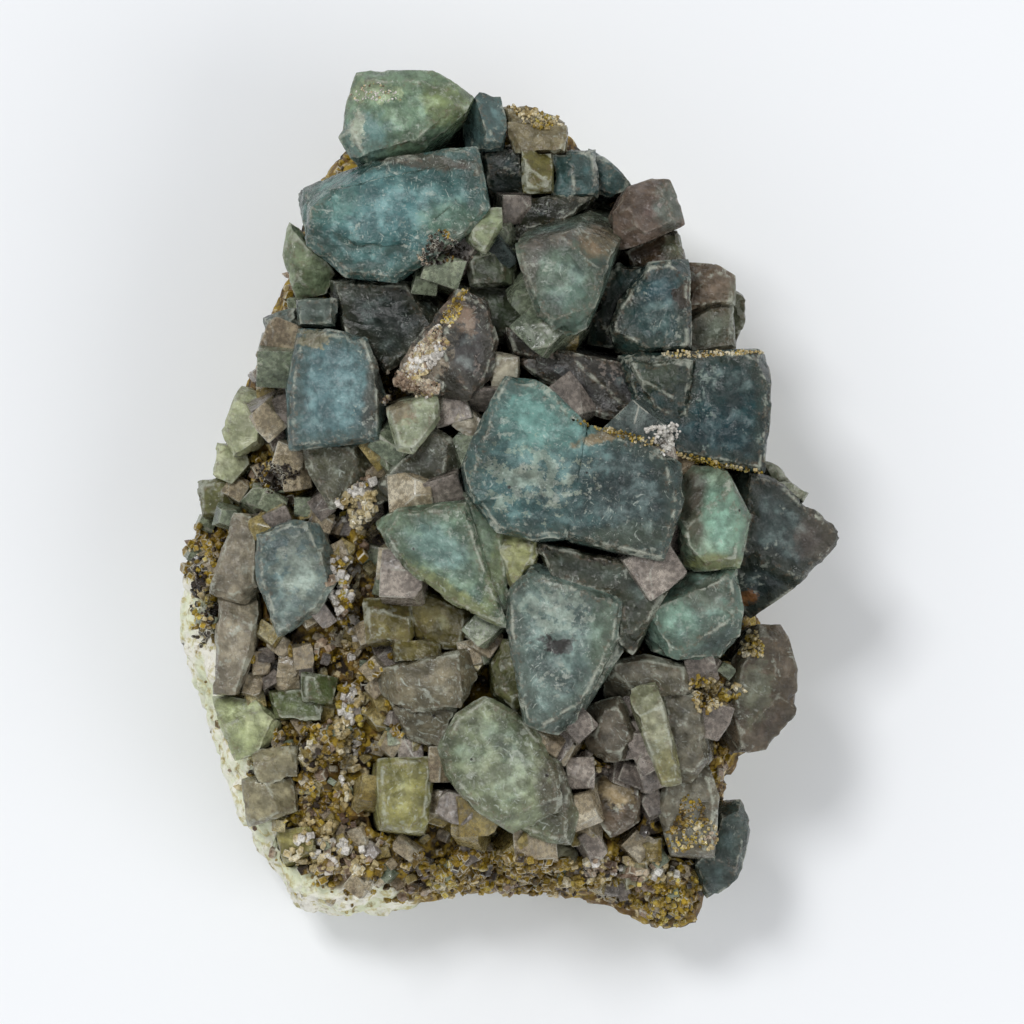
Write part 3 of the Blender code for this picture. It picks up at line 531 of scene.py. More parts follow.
@dataclass(frozen=True)
class Patch:
    """A patch of another colour, seen from the crystal side."""

    right: float
    down: float
    wide: float
    tall: float
    colour: str
    strength: float = 0.8
    turn: float = 0.0
    ragged: float = 0.35
    soft: float = 0.4

    def lay(self, bench: Bench, effects: Effects, spot: object, under: object) -> object:
        """Lay the patch over a colour.

        Args:
            bench: Bench of the material.
            effects: The shared groups.
            spot: Socket with the place on the surface in millimetres.
            under: Socket or colour below the patch.

        Returns:
            Socket of the colour with the patch on it.
        """
        mask = bench.group(effects.spot, spot, {
            "Middle": place(self.right, self.down), "Reach": (self.wide, self.tall, 1.0),
            "Turn": math.radians(self.turn), "Ragged": self.ragged, "Soft": self.soft})
        return bench.mix(bench.times(mask, self.strength), under, stone_tint(self.colour))


FLUORITE_IOR = 1.434
QUARTZ_IOR = 1.5
MILK = "bcd2cd"
SEAM_STAIN = "6b5640"
# Dark brown of the painted shade low on the crystals
PAINTED_FOOT_SHADE = "453a2a"
CLEAVAGE_WHITE = "d3dcd0"
# Pale colour of the painted highlight along the crystals' edges
EDGE_HIGHLIGHT = "cfd4c3"
SPECK = "1c1510"
BROKEN_WHITE = "eceade"
WORN_WHITE = "e2e0d0"


@dataclass(frozen=True)
class Finish:
    """The look of one crystal: its colours, clearness, lines and patches."""

    slot: Slot
    body: str
    cloud: str
    deep: str
    rim: str = "c3c9bb"
    clear: float = 0.22
    edge: str = "7d7c68"
    border: float = 0.38
    milky: float = 0.13
    worn: float = 0.24
    lines: float = 0.5
    turn: float = 20.0
    specks: float = 0.12
    dirt: float = 0.55
    rough: float = 0.2
    edge_highlight: float = 0.5
    relief_depth: float = 0.32
    patches: tuple[Patch, ...] = ()

    def material(self, name: str, effects: Effects) -> bpy.types.Material:
        """Build the material.

        Args:
            name: Name of the material.
            effects: The shared groups.

        Returns:
            The finished material.
        """
        material, bench, spot = new_material(name)
        rim, seam, foot = (bench.attribute(kind) for kind in ("rim", "seam", "foot"))
        core, gap = bench.attribute("core"), bench.attribute("gap")

        def clouds(layer: Clouds) -> object:
            """Give the mask of a layer of clouds on this crystal."""
            return layer.mask(bench, effects, spot)

        colour = bench.mix(clouds(BROAD_CLOUDS), stone_tint(self.body), stone_tint(self.cloud))
        colour = bench.mix(bench.times(clouds(DEEP_CLOUDS), 0.6), colour, stone_tint(self.deep))
        for patch in self.patches:
            colour = patch.lay(bench, effects, spot, colour)
        stray = bench.minus(bench.noise(spot, 0.7, 4.0, 0.62), 0.5)
        inner = bench.plus(core, bench.times(stray, 1.9))
        margin = bench.rise(inner, 0.15, 0.75, self.border, 0.0)
        edge = bench.mix(0.55, stone_tint(self.body), stone_tint(self.edge))
        colour = bench.mix(margin, colour, edge)
        milk = bench.times(clouds(MILKY_CLOUDS), bench.rise(inner, 0.4, 1.1))
        colour = bench.cover(colour, bench.times(milk, self.milky), MILK)
        colour = bench.mix(1.0, colour, bench.rise(milk, 0.0, 1.0, 1.0, 1.35), "MULTIPLY")
        mottle = bench.rise(bench.noise(spot, 0.7, 4.0, 0.60), 0.34, 0.66, 0.72, 1.34)
        colour = bench.mix(1.0, colour, mottle, "MULTIPLY")
        torn = bench.times(clouds(TORN_FLAKES), clouds(TORN_FIELDS))
        colour = bench.cover(colour, bench.times(torn, 0.45), self.rim)
        stain = bench.times(bench.group(effects.wear, spot, {"Rim": seam, "Amount": 0.85}), self.dirt)
        colour = bench.cover(colour, stain, SEAM_STAIN)
        # Painted shade: darkens each crystal towards its foot, low down where it sits in the crevices between
        # crystals
        colour = bench.cover(colour, bench.times(bench.rise(foot, 0.1, 1.0), 0.4), PAINTED_FOOT_SHADE)
        hair = 0.0
        for turn, size, stretch in ((0.0, 0.8, 6.0), (68.0, 0.55, 4.0)):
            dashes = bench.group(effects.flecks, spot, {
                "Turn": math.radians(self.turn + turn), "Size": size,
                "Share": self.lines - 0.13, "Stretch": stretch})
            hair = bench.maths("MAXIMUM", hair, dashes)
        wear = bench.group(effects.wear, spot, {"Rim": rim, "Amount": self.worn})
        colour = bench.cover(colour, bench.times(hair, 0.5), CLEAVAGE_WHITE)
        colour = bench.cover(colour, wear, self.rim)
        # Painted highlight: a thin broken pale line along the crystal's edges, standing in for edges that
        # catch the light
        highlight_line = bench.rise(gap, 0.05, 0.26, 1.0, 0.0)
        highlight_line = bench.times(highlight_line, bench.rise(bench.noise(spot, 0.45, 4.0, 0.7), 0.48, 0.58))
        colour = bench.cover(colour, bench.times(highlight_line, self.edge_highlight), EDGE_HIGHLIGHT)
        specks = bench.group(effects.specks, spot, {"Spacing": 1.9, "Radius": 0.10, "Share": self.specks})
        colour = bench.cover(colour, bench.times(specks, 0.85), SPECK)
        relief = bench.group(effects.cleavage, spot, {"Turn": math.radians(self.turn), "Step": 2.4})
        dull = bench.plus(self.rough - 0.10, bench.times(clouds(FINE_CLOUDS), 0.2))
        dull = bench.plus(dull, bench.times(wear, 0.25))
        bench.surface(colour, dull, relief, self.relief_depth, 0.9, FLUORITE_IOR, self.clear)
        return material


def put(name: str, data: bpy.types.ID) -> bpy.types.Object:
    """Make an object of a mesh, a light or a camera and link it into the scene."""
    thing = bpy.data.objects.new(name, data)
    bpy.context.scene.collection.objects.link(thing)
    return thing


def attach(piece: bpy.types.Object, material: bpy.types.Material, solid: str = "") -> None:
    """Dress a piece and fix it to the specimen.

    Args:
        piece: The piece.
        material: Its material.
        solid: Name of the solid that it stands in for, if any.
    """
    piece.data.materials.append(material)
    if solid:
        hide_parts(solid)
    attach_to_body(piece, "root")
    LOG.info("%s: %d faces", piece.name, len(piece.data.polygons))


def read_points(mesh: bpy.types.Mesh) -> np.ndarray:
    """Read a mesh's points as millimetres, one row each."""
    flat = np.empty(len(mesh.vertices) * 3)
    mesh.vertices.foreach_get("co", flat)
    return flat.reshape(-1, 3) / MM


def read_normals(mesh: bpy.types.Mesh) -> np.ndarray:
    """Read the directions that a mesh's points face, one row each."""
    flat = np.empty(len(mesh.vertices) * 3)
    mesh.vertices.foreach_get("normal", flat)
    return flat.reshape(-1, 3)


def write_points(mesh: bpy.types.Mesh, points: np.ndarray) -> None:
    """Write points in millimetres back to a mesh, kept inside the model's own box."""
    low = np.array(CAD_BOX[0]) / MM
    high = np.array(CAD_BOX[1]) / MM
    held = np.clip(points, low, high)
    mesh.vertices.foreach_set("co", (held * MM).ravel())
    mesh.update()


def write_share(mesh: bpy.types.Mesh, name: str, values: np.ndarray, domain: str = "POINT") -> None:
    """Keep one value for each point or face of a mesh under a name that materials can read."""
    layer = mesh.attributes.new(name, "FLOAT", domain)
    layer.data.foreach_set("value", values.astype(np.float32))


def refined(source: bpy.types.Object, name: str, spacing: float, sharp: bool) -> tuple:
    """Copy a solid as one even fine mesh.

    Args:
        source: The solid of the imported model.
        name: Name of the new piece.
        spacing: Widest spacing of the new mesh in millimetres.
        sharp: Whether the solid's edges stay crisp.

    Returns:
        The new object, and points along the solid's sharp edges in millimetres.
    """
    work = bmesh.new()
    work.from_mesh(source.data)
    bmesh.ops.remove_doubles(work, verts=work.verts, dist=0.002 * MM)
    edges = []
    for edge in work.edges:
        if len(edge.link_faces) == 2 and edge.calc_face_angle(0.0) > math.radians(16.0):
            first, second = (np.array(v.co) / MM for v in edge.verts)
            steps = max(2, int(np.linalg.norm(second - first) / 0.2))
            edges.append(first + np.linspace(0.0, 1.0, steps)[:, None] * (second - first))
    mesh = bpy.data.meshes.new(name)
    work.to_mesh(mesh)
    work.free()
    mesh.materials.clear()
    piece = put(name, mesh)
    remesh = piece.modifiers.new("even", "REMESH")
    if sharp:
        span = max(piece.dimensions) / MM
        remesh.mode = "SHARP"
        remesh.octree_depth = max(3, math.ceil(math.log2(span / 0.9 / spacing)))
        remesh.scale = 0.9
        remesh.use_remove_disconnected = False
    else:
        remesh.mode = "VOXEL"
        remesh.voxel_size = spacing * MM
    evaluated = piece.evaluated_get(bpy.context.evaluated_depsgraph_get())
    fine = bpy.data.meshes.new_from_object(evaluated)
    piece.modifiers.clear()
    piece.data = fine
    bpy.data.meshes.remove(mesh)
    fine.name = name
    fine.shade_smooth()
    return (piece, np.concatenate(edges))


def nearness(points: np.ndarray, marks: np.ndarray) -> np.ndarray:
    """Measure how far each point is from the nearest mark, in the unit of both.

    Args:
        points: Points, one row each.
        marks: Marks, one row each.

    Returns:
        One distance for each point.
    """
    tree = KDTree(len(marks))
    for index, mark in enumerate(marks):
        tree.insert(mark, index)
    tree.balance()
    return np.array([tree.find(point)[2] for point in points])


@dataclass(frozen=True)
class Heal:
    """An oval in which a skin is smoothed over a groove or a step of its solid."""

    right: float
    down: float
    wide: float
    tall: float
    turn: float = 0.0
    rounds: int = 80

    def share(self, points: np.ndarray) -> np.ndarray:
        """Tell how strongly each point is smoothed, from 0 outside the oval to 1."""
        middle = place(self.right, self.down)
        turn = math.radians(self.turn)
        across, along = points[:, 0] - middle[0], points[:, 1] - middle[1]
        first = (across * math.cos(turn) + along * math.sin(turn)) / self.wide
        second = (along * math.cos(turn) - across * math.sin(turn)) / self.tall
        return ease(1.0, 0.75, np.hypot(first, second))

    def smooth(self, mesh: bpy.types.Mesh, points: np.ndarray, share: np.ndarray) -> np.ndarray:
        """Level the heights of neighbouring points again and again.

        Args:
            mesh: The mesh whose edges say which points are neighbours.
            points: Its points in millimetres.
            share: How strongly each point is smoothed.

        Returns:
            The smoothed points.
        """
        ends = np.empty(len(mesh.edges) * 2, dtype=np.int32)
        mesh.edges.foreach_get("vertices", ends)
        first, second = ends.reshape(-1, 2).T
        count = np.bincount(ends, minlength=len(points))
        heights = points[:, 2].copy()
        for _ in range(self.rounds):
            total = np.bincount(first, heights[second], len(points))
            total += np.bincount(second, heights[first], len(points))
            heights += share * (total / np.maximum(count, 1) - heights)
        return np.column_stack((points[:, 0], points[:, 1], heights))


# Ovals by crystal: seams of joined solids that don't show on the specimen
HEALS = {
    "central_block": (Heal(57.6, 47.8, 3.4, 5.4),),
    "blue_block": (Heal(39.6, 20.8, 7.4, 4.0, 8.0),),
}


@dataclass
class CrystalSkin:
    """The worn outside of one crystal, in place of its faceted solid."""

    node: str
    finish: Finish
    spacing: float = 0.46
    grow: float = 0.32
    chip_depth: float = 0.24
    chip_reach: float = 0.55
    flake_depth: float = 0.26
    flake_reach: float = 1.5
    terrace: float = 0.07
    sharp_angle: float = 28.0

    def build(self, effects: Effects) -> bpy.types.Object:
        """Model the skin and dress it.

        Args:
            effects: The shared groups.

        Returns:
            The finished piece.
        """
        piece, edges = refined(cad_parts[self.node], self.node + "_skin", self.spacing, True)
        mesh = piece.data
        points = read_points(mesh)
        normals = read_normals(mesh)
        gap = nearness(points, edges)
        for heal in HEALS.get(self.node, ()):
            share = heal.share(points) * ease(0.2, 0.5, normals[:, 2])
            points = heal.smooth(mesh, points, share)
            gap = gap + 4.0 * share
        shift = self.grow + self.relief(points, gap)
        write_points(mesh, points + normals * shift[:, None])
        top = points[:, 2].max()
        mesh.set_sharp_from_angle(angle=math.radians(self.sharp_angle))
        write_share(mesh, "rim", np.exp(-(gap / 0.30) ** 2))
        write_share(mesh, "seam", np.exp(-(gap / 0.9) ** 2))
        write_share(mesh, "core", ease(0.1, 2.0, gap))
        write_share(mesh, "gap", gap)
        # How far each point lies below the crystal's top, for the painted shade low on the crystal
        write_share(mesh, "foot", ease(3.0, 11.0, top - points[:, 2]))
        attach(piece, self.finish.material(self.node + "_finish", effects), self.node)
        return piece

    def relief(self, points: np.ndarray, gap: np.ndarray) -> np.ndarray:
        """Work out how far each point stands proud, negative where it is chipped.

        Args:
            points: Points of the skin in millimetres.
            gap: Distance of each point from the nearest edge of the solid.

        Returns:
            One shift along the normal for each point, in millimetres.
        """
        near = np.exp(-(gap / self.chip_reach) ** 2)
        chips = ease(0.0, 0.75, GRIT.layered(points, 1.5, 3)) * near * self.chip_depth
        border, value = GRIT.cells(points, 2.3)
        flakes = np.where(value > 0.45, 1.0, 0.0) * np.exp(-(gap / self.flake_reach) ** 2)
        flakes = flakes * ease(0.0, 0.25, border) * self.flake_depth
        steps = np.round(GRIT.layered(points, 4.2, 2) * 2.5) / 2.5 * self.terrace
        fine = GRIT.smooth(points, 0.9) * 0.035
        return steps + fine - chips - flakes


# The rock's freshly broken edge along the lower left, in millimetres
FRESH_EDGE = (
    (17.6, 60.5), (19.2, 68.5), (21.4, 75.0), (24.2, 82.6), (28.2, 89.4), (31.0, 92.4), (38.0, 92.0),
)


def fresh_gap(right: float, down: float) -> float:
    """Measure how far a spot is from the rock's freshly broken edge.

    Args:
        right: Millimetres right of the square's left side.
        down: Millimetres below the square's top side.

    Returns:
        The distance in millimetres.
    """
    gap = 99.0
    for (first_x, first_y), (last_x, last_y) in zip(FRESH_EDGE, FRESH_EDGE[1:]):
        run_x, run_y = last_x - first_x, last_y - first_y
        share = ((right - first_x) * run_x + (down - first_y) * run_y) / (run_x ** 2 + run_y ** 2)
        share = min(max(share, 0.0), 1.0)
        gap = min(gap, math.hypot(right - first_x - share * run_x, down - first_y - share * run_y))
    return gap


@dataclass
class RockSkin:
    """The rough broken outside of the quartz rock."""

    voxel: float = 0.46
    lump: float = 0.55
    chunk: float = 0.55
    pit: float = 0.5

    def build(self, effects: Effects) -> bpy.types.Object:
        """Model the rough rock and dress it.

        Args:
            effects: The shared groups.

        Returns:
            The finished piece.
        """
        piece, _ = refined(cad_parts["matrix"], "rock", self.voxel, False)
        mesh = piece.data
        points = read_points(mesh)
        normals = read_normals(mesh)
        rolling = GRIT.layered(points, 3.4, 3) * self.lump
        border, value = GRIT.cells(points + GRIT.smooth(points, 2.0)[:, None], 2.1)
        chunks = value * ease(0.0, 0.12, border) * self.chunk - ease(0.14, 0.0, border) * 0.3
        pits = ease(0.25, 0.8, GRIT.layered(points + 31.0, 1.6, 2)) * self.pit
        shift = rolling * 0.6 + chunks * 0.6 - pits
        under = ease(1.2, 0.2, points[:, 2])
        shift = shift * (1.0 - 0.75 * under)
        write_points(mesh, points + normals * shift[:, None])
        write_share(mesh, "pit", np.clip(pits / self.pit + ease(0.1, 0.0, border) * 0.5, 0.0, 1.0))
        stray = GRIT.layered(points + 9.0, 3.0, 3)
        edge = np.array([fresh_gap(point[0] + MIDDLE_RIGHT, MIDDLE_DOWN - point[1]) for point in points])
        wall = ease(4.0, 2.8, edge + stray * 0.9) * ease(21.5, 19.5, points[:, 2] + stray)
        below = ease(9.0, 5.0, points[:, 2] + stray * 2.0)
        write_share(mesh, "fresh", np.maximum(wall, below * ease(-0.2, 0.5, stray + 0.4)))
        attach(piece, RockLook().material("quartz_rock_finish", effects), "matrix")
        return piece


@dataclass(frozen=True)
class RockLook:
    """Iron-stained quartz on top and a pale fresh break along the lower left."""

    ochre: str = "a78b26"
    rust: str = "6a4d14"
    brown: str = "221506"
    cream: str = "d8c79c"
    fresh: str = "fefbee"
    green: str = "e8edcc"
    straw: str = "cfc58e"
    tan: str = "8f7a34"
    relief_depth: float = 0.3

    def material(self, name: str, effects: Effects) -> bpy.types.Material:
        """Build the material.

        Args:
            name: Name of the material.
            effects: The shared groups.

        Returns:
            The finished material.
        """
        material, bench, spot = new_material(name)
        pit, fresh = bench.attribute("pit"), bench.attribute("fresh")

        def clouds(layer: Clouds) -> object:
            """Give the mask of a layer of clouds on the rock."""
            return layer.mask(bench, effects, spot)

        colour = bench.mix(clouds(RUST_CLOUDS), tint(self.ochre), tint(self.rust))
        colour = bench.cover(colour, clouds(CREAM_CLOUDS), self.cream)
        colour = bench.cover(colour, clouds(BROWN_CLOUDS), self.brown)
        colour = bench.cover(colour, bench.times(pit, 0.9), self.brown)
        pale = bench.mix(clouds(GREEN_CLOUDS), tint(self.fresh), tint(self.green))
        pale = bench.cover(pale, clouds(STRAW_CLOUDS), self.straw)
        pale = bench.cover(pale, clouds(TAN_CLOUDS), self.tan)
        colour = bench.mix(fresh, colour, pale)
        fine = bench.noise(spot, 2.2, 6.0, 0.68)
        grain = bench.voronoi(spot, 1.6).outputs["Distance"]
        height = bench.plus(fine, bench.times(grain, 0.5))
        dull = bench.rise(fine, 0.3, 0.7, 0.45, 0.8)
        bench.surface(colour, dull, height, self.relief_depth, 0.9, QUARTZ_IOR)
        return material


class Surfaces:
    """Everything that small crystals and grains can grow on, in millimetres."""

    def __init__(self, skins: list[bpy.types.Object], beds: list[bpy.types.Object]) -> None:
        """Gather the surfaces.

        Args:
            skins: The crystals' skins.
            beds: The rock's skin and what else counts as rock.
        """
        points, faces, owners = [], [], []
        offset = 0
        for shell in beds + skins:
            mesh = shell.data
            mesh.calc_loop_triangles()
            corners = np.empty(len(mesh.loop_triangles) * 3, dtype=np.int32)
            mesh.loop_triangles.foreach_get("vertices", corners)
            points.append(read_points(mesh))
            faces.append(corners.reshape(-1, 3) + offset)
            owners.append(np.full(len(mesh.loop_triangles), shell in skins))
            offset += len(mesh.vertices)
        self.owners = np.concatenate(owners)
        self.tree = BVHTree.FromPolygons(np.concatenate(points).tolist(), np.concatenate(faces).tolist())

    def below(self, right: float, down: float) -> tuple:
        """Find what lies topmost at a spot.

        Args:
            right: Millimetres right of the square's left side.
            down: Millimetres below the square's top side.

        Returns:
            The point, the direction it faces, and whether it is the rock; the point is
            None beside the specimen.
        """
        hit, normal, index, _ = self.tree.ray_cast(Vector(place(right, down, 60.0)), Vector((0.0, 0.0, -1.0)))
        return (hit, normal, index is not None and not self.owners[index])

    def height(self, right: float, down: float) -> float:
        """Height of what lies topmost at a spot, 0 beside the specimen."""
        hit = self.below(right, down)[0]
        return hit.z if hit is not None else 0.0


@dataclass(frozen=True)
class GrainLook:
    """Small translucent crystals whose colour changes from one to the next."""

    first: str
    second: str
    third: str
    clear: float = 0.25
    rough: float = 0.22
    broken: float = 0.35
    relief_depth: float = 0.14

    def material(self, name: str, effects: Effects) -> bpy.types.Material:
        """Build the material.

        Args:
            name: Name of the material.
            effects: The shared groups.

        Returns:
            The finished material.
        """
        material, bench, spot = new_material(name)
        tone, worn = bench.attribute("tone"), bench.attribute("worn_edge")
        stray = bench.rise(bench.noise(spot, 0.4, 3.0, 0.6), 0.32, 0.68)
        mixed = bench.plus(bench.times(tone, 0.45), bench.times(stray, 0.55))
        colour = bench.mix(bench.rise(mixed, 0.10, 0.5), tint(self.first), tint(self.second))
        colour = bench.cover(colour, bench.rise(mixed, 0.55, 0.9), self.third)
        turn = bench.times(tone, math.tau)
        flecks = bench.group(effects.flecks, spot, {
            "Turn": turn, "Size": 0.8, "Share": self.broken + 0.3, "Stretch": 4.0})
        colour = bench.cover(colour, bench.times(flecks, self.broken), BROKEN_WHITE)
        mottle = bench.rise(bench.noise(spot, 1.9, 4.0, 0.7), 0.34, 0.66, 0.62, 1.36)
        colour = bench.mix(1.0, colour, mottle, "MULTIPLY")
        worn = bench.times(worn, bench.rise(stray, 0.40, 0.7, 0.05, 0.6))
        colour = bench.cover(colour, worn, WORN_WHITE)
        relief = bench.group(effects.cleavage, spot, {"Turn": turn, "Step": 1.3})
        dull = bench.rise(mottle, 0.62, 1.36, self.rough - 0.12, self.rough + 0.18)
        bench.surface(colour, dull, relief, self.relief_depth, 0.7, FLUORITE_IOR, self.clear)
        return material


class Parts:
    """Points, faces and tones of many small shapes that become one mesh."""

    def __init__(self) -> None:
        """Start empty."""
        self.points: list[np.ndarray] = []
        self.faces: list[np.ndarray] = []
        self.edges: list[np.ndarray] = []
        self.tones: list[np.ndarray] = []
        self.count = 0

    def add(self, points: np.ndarray, faces: np.ndarray, edges: np.ndarray, tone: float) -> None:
        """Add a shape.

        Args:
            points: Its points in millimetres.
            faces: Its triangles.
            edges: 1 for each triangle on a worn edge, 0 for the others.
            tone: Its place between its look's three colours, from 0 to 1.
        """
        self.points.append(points)
        self.faces.append(faces + self.count)
        self.edges.append(edges)
        self.tones.append(np.full(len(points), tone))
        self.count += len(points)

    def finish(self, name: str, material: bpy.types.Material, slot: Slot) -> bpy.types.Object:
        """Join the shapes to one piece of the specimen.

        Args:
            name: Name of the piece.
            material: Its material.
            slot: The record's finish that it belongs to; not used.

        Returns:
            The piece.
        """
        mesh = bpy.data.meshes.new(name)
        mesh.from_pydata(np.zeros((self.count, 3)).tolist(), [], np.concatenate(self.faces).tolist())
        write_points(mesh, np.concatenate(self.points))
        write_share(mesh, "tone", np.concatenate(self.tones))
        write_share(mesh, "worn_edge", np.concatenate(self.edges), "FACE")
        piece = put(name, mesh)
        attach(piece, material)
        return piece


class Shade(Enum):
    """Kinds of small crystal by their colour."""

    GREY = "small_grey_crystals"
    GREEN = "small_green_crystals"
    YELLOW = "small_yellow_crystals"
    PALE = "small_pale_crystals"
    SLATE = "small_slate_crystals"


SHADE_LOOKS = {
    Shade.GREY: (GrainLook("6f6862", "a0958b", "c9bdb0", 0.5), Slot.SMOKE),
    Shade.GREEN: (GrainLook("74806a", "9ca78c", "c3ccac", 0.5), Slot.SAGE),
    Shade.YELLOW: (GrainLook("8f7a3a", "b5a263", "d8cd9c", 0.5), Slot.OLIVE),
    Shade.PALE: (GrainLook("93836b", "b5a688", "ddd2b8", 0.45), Slot.PALE_GREEN),
    Shade.SLATE: (GrainLook("3c4644", "55625f", "78857f", 0.5), Slot.SLATE),
}


@dataclass(frozen=True)
class Area:
    """An oval part of the specimen and the shares of the small crystals' kinds in it."""

    right: float
    down: float
    wide: float
    tall: float
    shares: tuple[tuple[Shade, float], ...]

    def reaches(self, right: float, down: float) -> bool:
        """Tell whether a spot lies in the area."""
        return math.hypot((right - self.right) / self.wide, (down - self.down) / self.tall) < 1.0


FIELD_SHARES = ((Shade.PALE, 0.34), (Shade.GREY, 0.18), (Shade.YELLOW, 0.34), (Shade.GREEN, 0.14))
AREAS = (
    Area(43.5, 24.5, 4.0, 2.6, ((Shade.YELLOW, 0.5), (Shade.GREY, 0.5))),
    Area(52.0, 16.0, 12.0, 6.0, ((Shade.GREY, 0.4), (Shade.SLATE, 0.3), (Shade.YELLOW, 0.3))),
    Area(47.0, 29.0, 10.0, 7.0, ((Shade.GREEN, 0.5), (Shade.SLATE, 0.3), (Shade.GREY, 0.2))),
    Area(66.0, 26.0, 12.0, 9.0, ((Shade.GREY, 0.5), (Shade.SLATE, 0.3), (Shade.GREEN, 0.2))),
    Area(64.0, 42.0, 16.0, 8.0, ((Shade.SLATE, 0.5), (Shade.GREY, 0.4), (Shade.PALE, 0.1))),
    Area(66.0, 58.0, 14.0, 9.0, ((Shade.GREY, 0.5), (Shade.GREEN, 0.3), (Shade.SLATE, 0.2))),
    Area(48.0, 50.0, 11.0, 12.0, ((Shade.GREY, 0.4), (Shade.GREEN, 0.4), (Shade.PALE, 0.2))),
    Area(67.0, 74.0, 10.0, 10.0, ((Shade.GREY, 0.7), (Shade.GREEN, 0.2), (Shade.PALE, 0.1))),
    Area(57.0, 82.0, 8.0, 5.0, ((Shade.GREY, 0.5), (Shade.PALE, 0.3), (Shade.YELLOW, 0.2))),
)


@dataclass(frozen=True)
class Hollow:
    """A dark pocket that stays open."""

    right: float
    down: float
    reach: float


HOLLOWS = (
    Hollow(42.6, 24.8, 1.0), Hollow(68.2, 29.2, 1.0), Hollow(67.6, 58.0, 1.2), Hollow(71.4, 75.4, 2.2),
    Hollow(26.0, 60.6, 1.4), Hollow(34.2, 68.0, 1.4), Hollow(44.4, 73.8, 1.0), Hollow(33.0, 88.0, 1.2),
    Hollow(48.0, 41.0, 0.8), Hollow(46.2, 84.0, 1.4), Hollow(65.0, 65.4, 0.8), Hollow(35.6, 62.0, 1.2),
)


